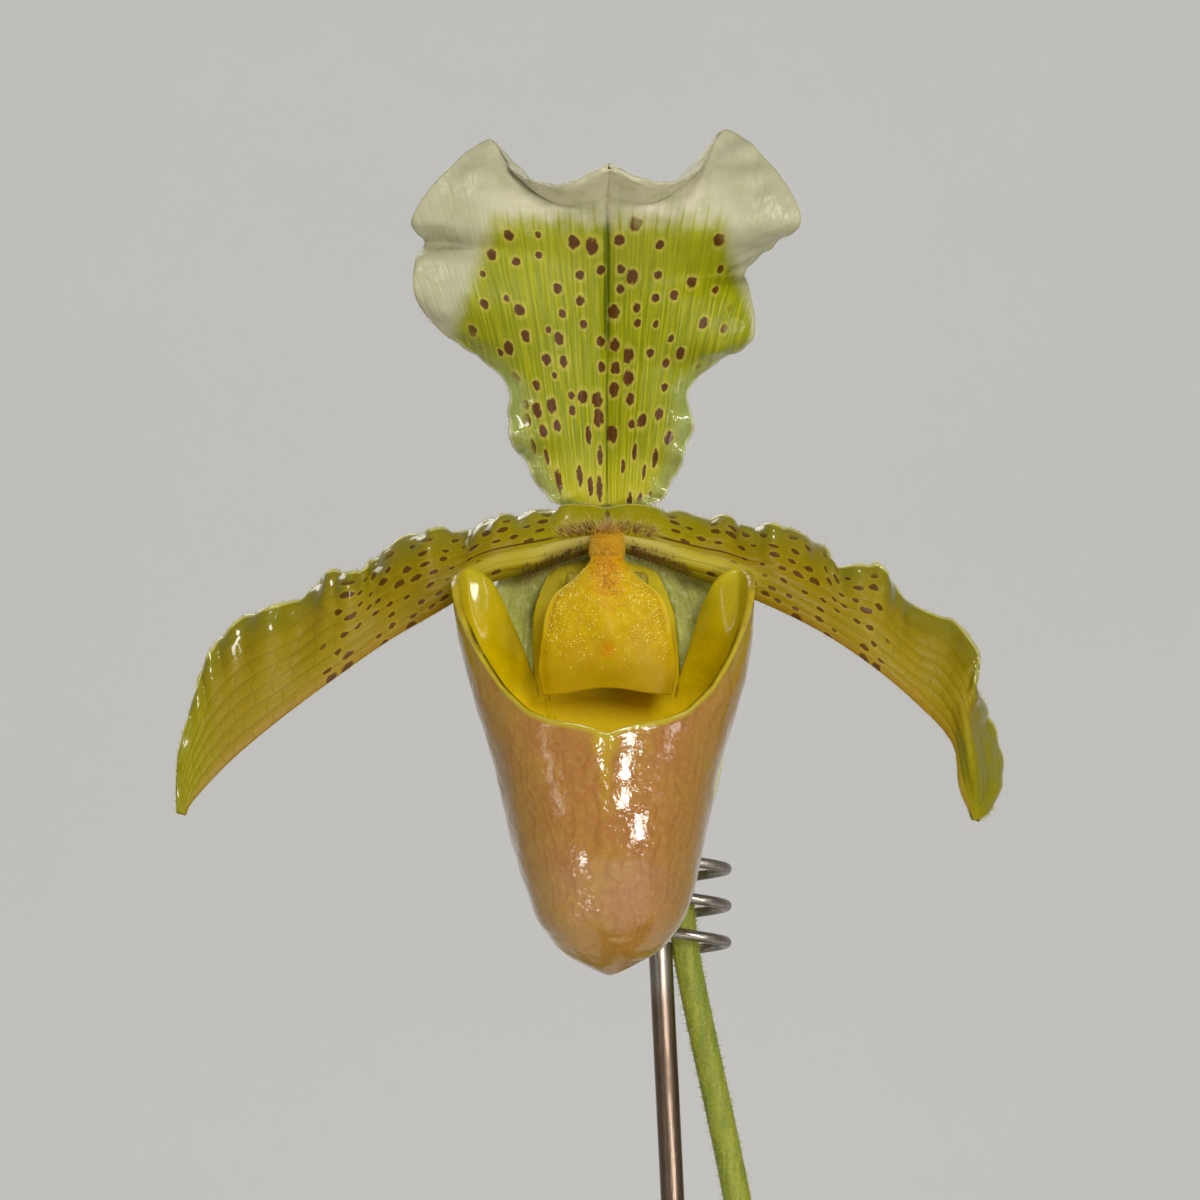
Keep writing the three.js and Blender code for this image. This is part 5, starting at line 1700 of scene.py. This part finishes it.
# Hairs on one margin of a surface, which point out of it and fan to both sides.
def fringe(name, surface, edge, kind):
    facts = hairFacts[kind]
    count = facts["count"]
    t = np.sort(hairRandom.uniform(*facts["span"], count))
    side = np.full(count, float(edge))
    place = surface(side, t)
    out = unit(place - surface(side - math.copysign(0.02, edge), t))
    way = out + facts["spread"] * hairRandom.normal(size=(count, 3))
    lengths = hairRandom.uniform(*facts["reach"], count)
    bends = 0.35 * hairRandom.normal(size=(count, 3))
    piece = hairs(name, shortHair, flowerCentre, place - out * 0.15, way, lengths, facts["width"], bends)
    return dressed(piece, hairFaces[facts["tone"]])


def downOn(name, surface, origin, kind):  # hairs all round a tube
    facts = hairFacts[kind]
    count = facts["count"]
    side, t = hairRandom.uniform(-1, 1, count), hairRandom.uniform(*facts["span"], count)
    place, normal, _, _ = frameAt(surface, side, t, True)
    way = normal + 0.5 * hairRandom.normal(size=(count, 3))
    lengths = hairRandom.uniform(*facts["reach"], count)
    bends = 0.3 * hairRandom.normal(size=(count, 3))
    piece = hairs(name, shortHair, origin, place, way, lengths, facts["width"], bends)
    return dressed(piece, hairFaces[facts["tone"]])


# Hairs on what a look along +Y meets first at each place, given across and up from the flower's centre.
def tuft(name, hosts, across, up, way, kind):
    facts = hairFacts[kind]
    trees = [BVHTree.FromObject(host, bpy.context.evaluated_depsgraph_get()) for host in hosts]
    roots, ways = [], []
    for x, z, lean in zip(across, up, way):
        start = Vector(np.array([x, -40, z]) * mm + flowerCentre * mm)
        hits = [tree.ray_cast(start, Vector((0, 1, 0))) for tree in trees]
        hits = [hit for hit in hits if hit[0] is not None]
        if hits:
            hit = min(hits, key=lambda found: found[3])
            roots.append(np.array(hit[0]) / mm - flowerCentre)
            ways.append(lean)
    count = len(roots)
    way = np.array(ways) + facts["spread"] * hairRandom.normal(size=(count, 3))
    lengths = hairRandom.uniform(*facts["reach"], count)
    bends = facts["curl"] * hairRandom.normal(size=(count, 3)) + np.array(facts["fall"])
    piece = hairs(name, longHair, flowerCentre, np.array(roots), way, lengths, facts["width"], bends)
    return dressed(piece, hairFaces[facts["tone"]])


def leaning(across, perMm, forward, up):  # ways for hairs that lean out more the further out they stand
    return np.stack([across * perMm, np.full(len(across), forward), np.full(len(across), up)], 1)


print("hairs")
hairRandom = np.random.default_rng(77)
shortHair, longHair = hairShape(2), hairShape(4)
hairFaces = {tone: hairFinish(tone) for tone in hairFacts["tones"]}
fringe("sepal_fringe_left", sepalForm, -1, "sepalFringe")
fringe("sepal_fringe_right", sepalForm, 1, "sepalFringe")
for hand in ("left", "right"):
    form = petalSurface(petalFacts[hand])
    fringe(f"petal_{hand}_fringe", form, -1, "petalFringe")
    fringe(f"petal_{hand}_hem", form, 1, "petalHem")
downOn("scape_down", scapeTube, plantFoot, "scapeDown")
downOn("ovary_down", ovaryTube, flowerCentre, "ovaryDown")

centreHosts = [petalPieces["left"], petalPieces["right"], ovary, column]
n = hairFacts["crest"]["count"]
crestX = hairRandom.uniform(-1, 1, n)
crestX = np.sign(crestX) * 5.6 * np.abs(crestX) ** 1.25
crestZ = hairRandom.uniform(-0.6, 0.7, n) - 0.02 * crestX**2
tuft("petals_crest", centreHosts, crestX, crestZ, leaning(crestX, 0.22, -0.5, 0.95), "crest")
n = hairFacts["beard"]["count"]
for hand in (-1, 1):
    run = hairRandom.uniform(0, 1, n) ** 1.4
    beardX = hand * (3.0 + 7.2 * run)
    beardZ = -2.1 - 3.0 * run + 0.4 * hairRandom.normal(size=n)
    beardWay = leaning(np.full(n, hand), 0.25, -0.8, -0.8)
    tuft(f"petal_beard{hand + 2}", centreHosts[:2], beardX, beardZ, beardWay, "beard")
n = hairFacts["columnDown"]["count"]
run = hairRandom.uniform(0, 1, n) ** 1.8
downX, downZ = hairRandom.normal(size=n) * (1.4 - 0.7 * run), 0.8 - 8.6 * run
tuft("column_down", [column, shieldSheet], downX, downZ, leaning(downX, 0.3, -0.9, 0.1), "columnDown")
n = hairFacts["sepalTuft"]["count"]
paleX, paleZ = 0.7 + hairRandom.normal(size=n) * 0.9, 2.2 + hairRandom.normal(size=n) * 0.35
tuft("sepal_tuft", [sepalSheet, ovary], paleX, paleZ, leaning(paleX, 0.2, -0.8, 0.5), "sepalTuft")
for shape in (shortHair, longHair, bead):
    bpy.data.objects.remove(shape)


# Studio: a pale floor that climbs to a wall all round, soft lights and the camera

studioFacts = {
    "floorRadius": 3.0,
    "bend": {"start": 0.9, "radius": 1.3, "steps": 8},  # start is measured back from the floor's radius
    "wallHeight": 3.0,
    "floorTone": [(236, 234, 230), (242, 240, 237)],
    "world": (0.9, 0.92, 0.95, 1),
    "worldStrength": 0.22,
    "lights": {  # turn from the front, height angle, distance, size, power and colour, all aimed at the flower
        "key": [12, 15, 0.78, (0.16, 0.19), 2.6, (1, 0.99, 0.96)],
        "keyLow": [28, -6, 0.78, (0.13, 0.17), 1.6, (1, 0.99, 0.96)],
        "top": [-12, 52, 0.85, (0.28, 0.1), 2.1, (1, 0.99, 0.96)],
        "right": [52, 20, 0.8, (0.1, 0.24), 0.4, (1, 1, 1)],
        "left": [-46, 8, 0.8, (0.08, 0.2), 0.14, (1, 1, 1)],
        "low": [-31, -28, 0.7, (0.09, 0.1), 0.7, (1, 1, 1)],
        "behind": [205, 35, 1.3, (0.6, 0.6), 3.5, (1, 0.99, 0.96)],
    },
    "wallLight": {"place": (0, 1.1, 1.5), "target": (0, 3.2, 0.5), "size": (1.6, 0.5), "power": 17},
}
cameraFacts = {
    "distance": 700,  # from the flower's centre
    "shownWidth": 144.6,  # width of the picture at the flower
    "aim": [-0.84, 0, -8.43],  # middle of the picture from the flower's centre
}


def softLight(name, place, target, size, power, colour):
    bpy.ops.object.light_add(type="AREA", location=place)
    light = newest(name)
    light.data.shape = "RECTANGLE"
    light.data.size, light.data.size_y = size
    light.data.energy = power
    light.data.color = colour
    light.rotation_euler = (target - place).to_track_quat("-Z", "Y").to_euler()
    light.visible_camera = False


def studio():
    facts = studioFacts
    bend = facts["bend"]
    flatRadius = facts["floorRadius"] - bend["start"]
    profile = [[0, 0], [0.6, 0], [1.6, 0], [flatRadius, 0]]
    for k in range(1, bend["steps"] + 1):
        angle = math.pi / 2 * k / bend["steps"]
        profile.append([flatRadius + bend["radius"] * math.sin(angle), bend["radius"] * (1 - math.cos(angle))])
    profile.append([profile[-1][0], facts["wallHeight"]])
    bpy.ops.object.select_all(action="DESELECT")
    bpy.ops.mesh.primitive_grid_add(x_subdivisions=96, y_subdivisions=len(profile) - 1, size=2)
    floor = newest("floor")
    flat = readPoints(floor)
    ring = np.round((flat[:, 1] + 1) / 2 * (len(profile) - 1)).astype(int)
    shape = np.array(profile)[ring]
    angle = flat[:, 0] * math.pi
    writePoints(floor, np.stack([shape[:, 0] * np.cos(angle), shape[:, 0] * np.sin(angle), shape[:, 1]], 1))
    edited(floor, lambda: bpy.ops.mesh.remove_doubles(threshold=1e-4))
    bpy.ops.object.shade_smooth()
    f = Finish("floor")
    x, y, z = f.places()
    tone = f.noise((x, y, z), 0.002, 2)
    floor.data.materials.append(f.surface({"Base Color": f.mix(tone, *facts["floorTone"]), "Roughness": 0.8}))
    world = bpy.data.worlds.new("studio")
    bpy.context.scene.world = world
    world.use_nodes = True
    background = world.node_tree.nodes["Background"]
    background.inputs["Color"].default_value = facts["world"]
    background.inputs["Strength"].default_value = facts["worldStrength"]
    target = Vector((flowerCentre + [0, -20, -14]) * mm)
    for name, (turn, rise, away, size, power, colour) in facts["lights"].items():
        turn, rise = math.radians(turn), math.radians(rise)
        way = Vector((math.sin(turn) * math.cos(rise), -math.cos(turn) * math.cos(rise), math.sin(rise)))
        softLight(name, target + way * away, target, size, power, colour)
    wall = facts["wallLight"]
    softLight("wall_light", Vector(wall["place"]), Vector(wall["target"]), wall["size"], wall["power"], (1, 1, 1))


def photoCamera():
    facts = cameraFacts
    bpy.ops.object.camera_add(
        location=(flowerCentre + facts["aim"] - [0, facts["distance"], 0]) * mm, rotation=(math.pi / 2, 0, 0)
    )
    camera = newest("camera")
    camera.data.sensor_width = 36
    camera.data.lens = 36 * facts["distance"] / facts["shownWidth"]
    camera.data.clip_start, camera.data.clip_end = 0.01, 20
    bpy.context.scene.camera = camera


print("studio")
studio()
photoCamera()
bpy.context.scene.view_settings.view_transform = "Standard"
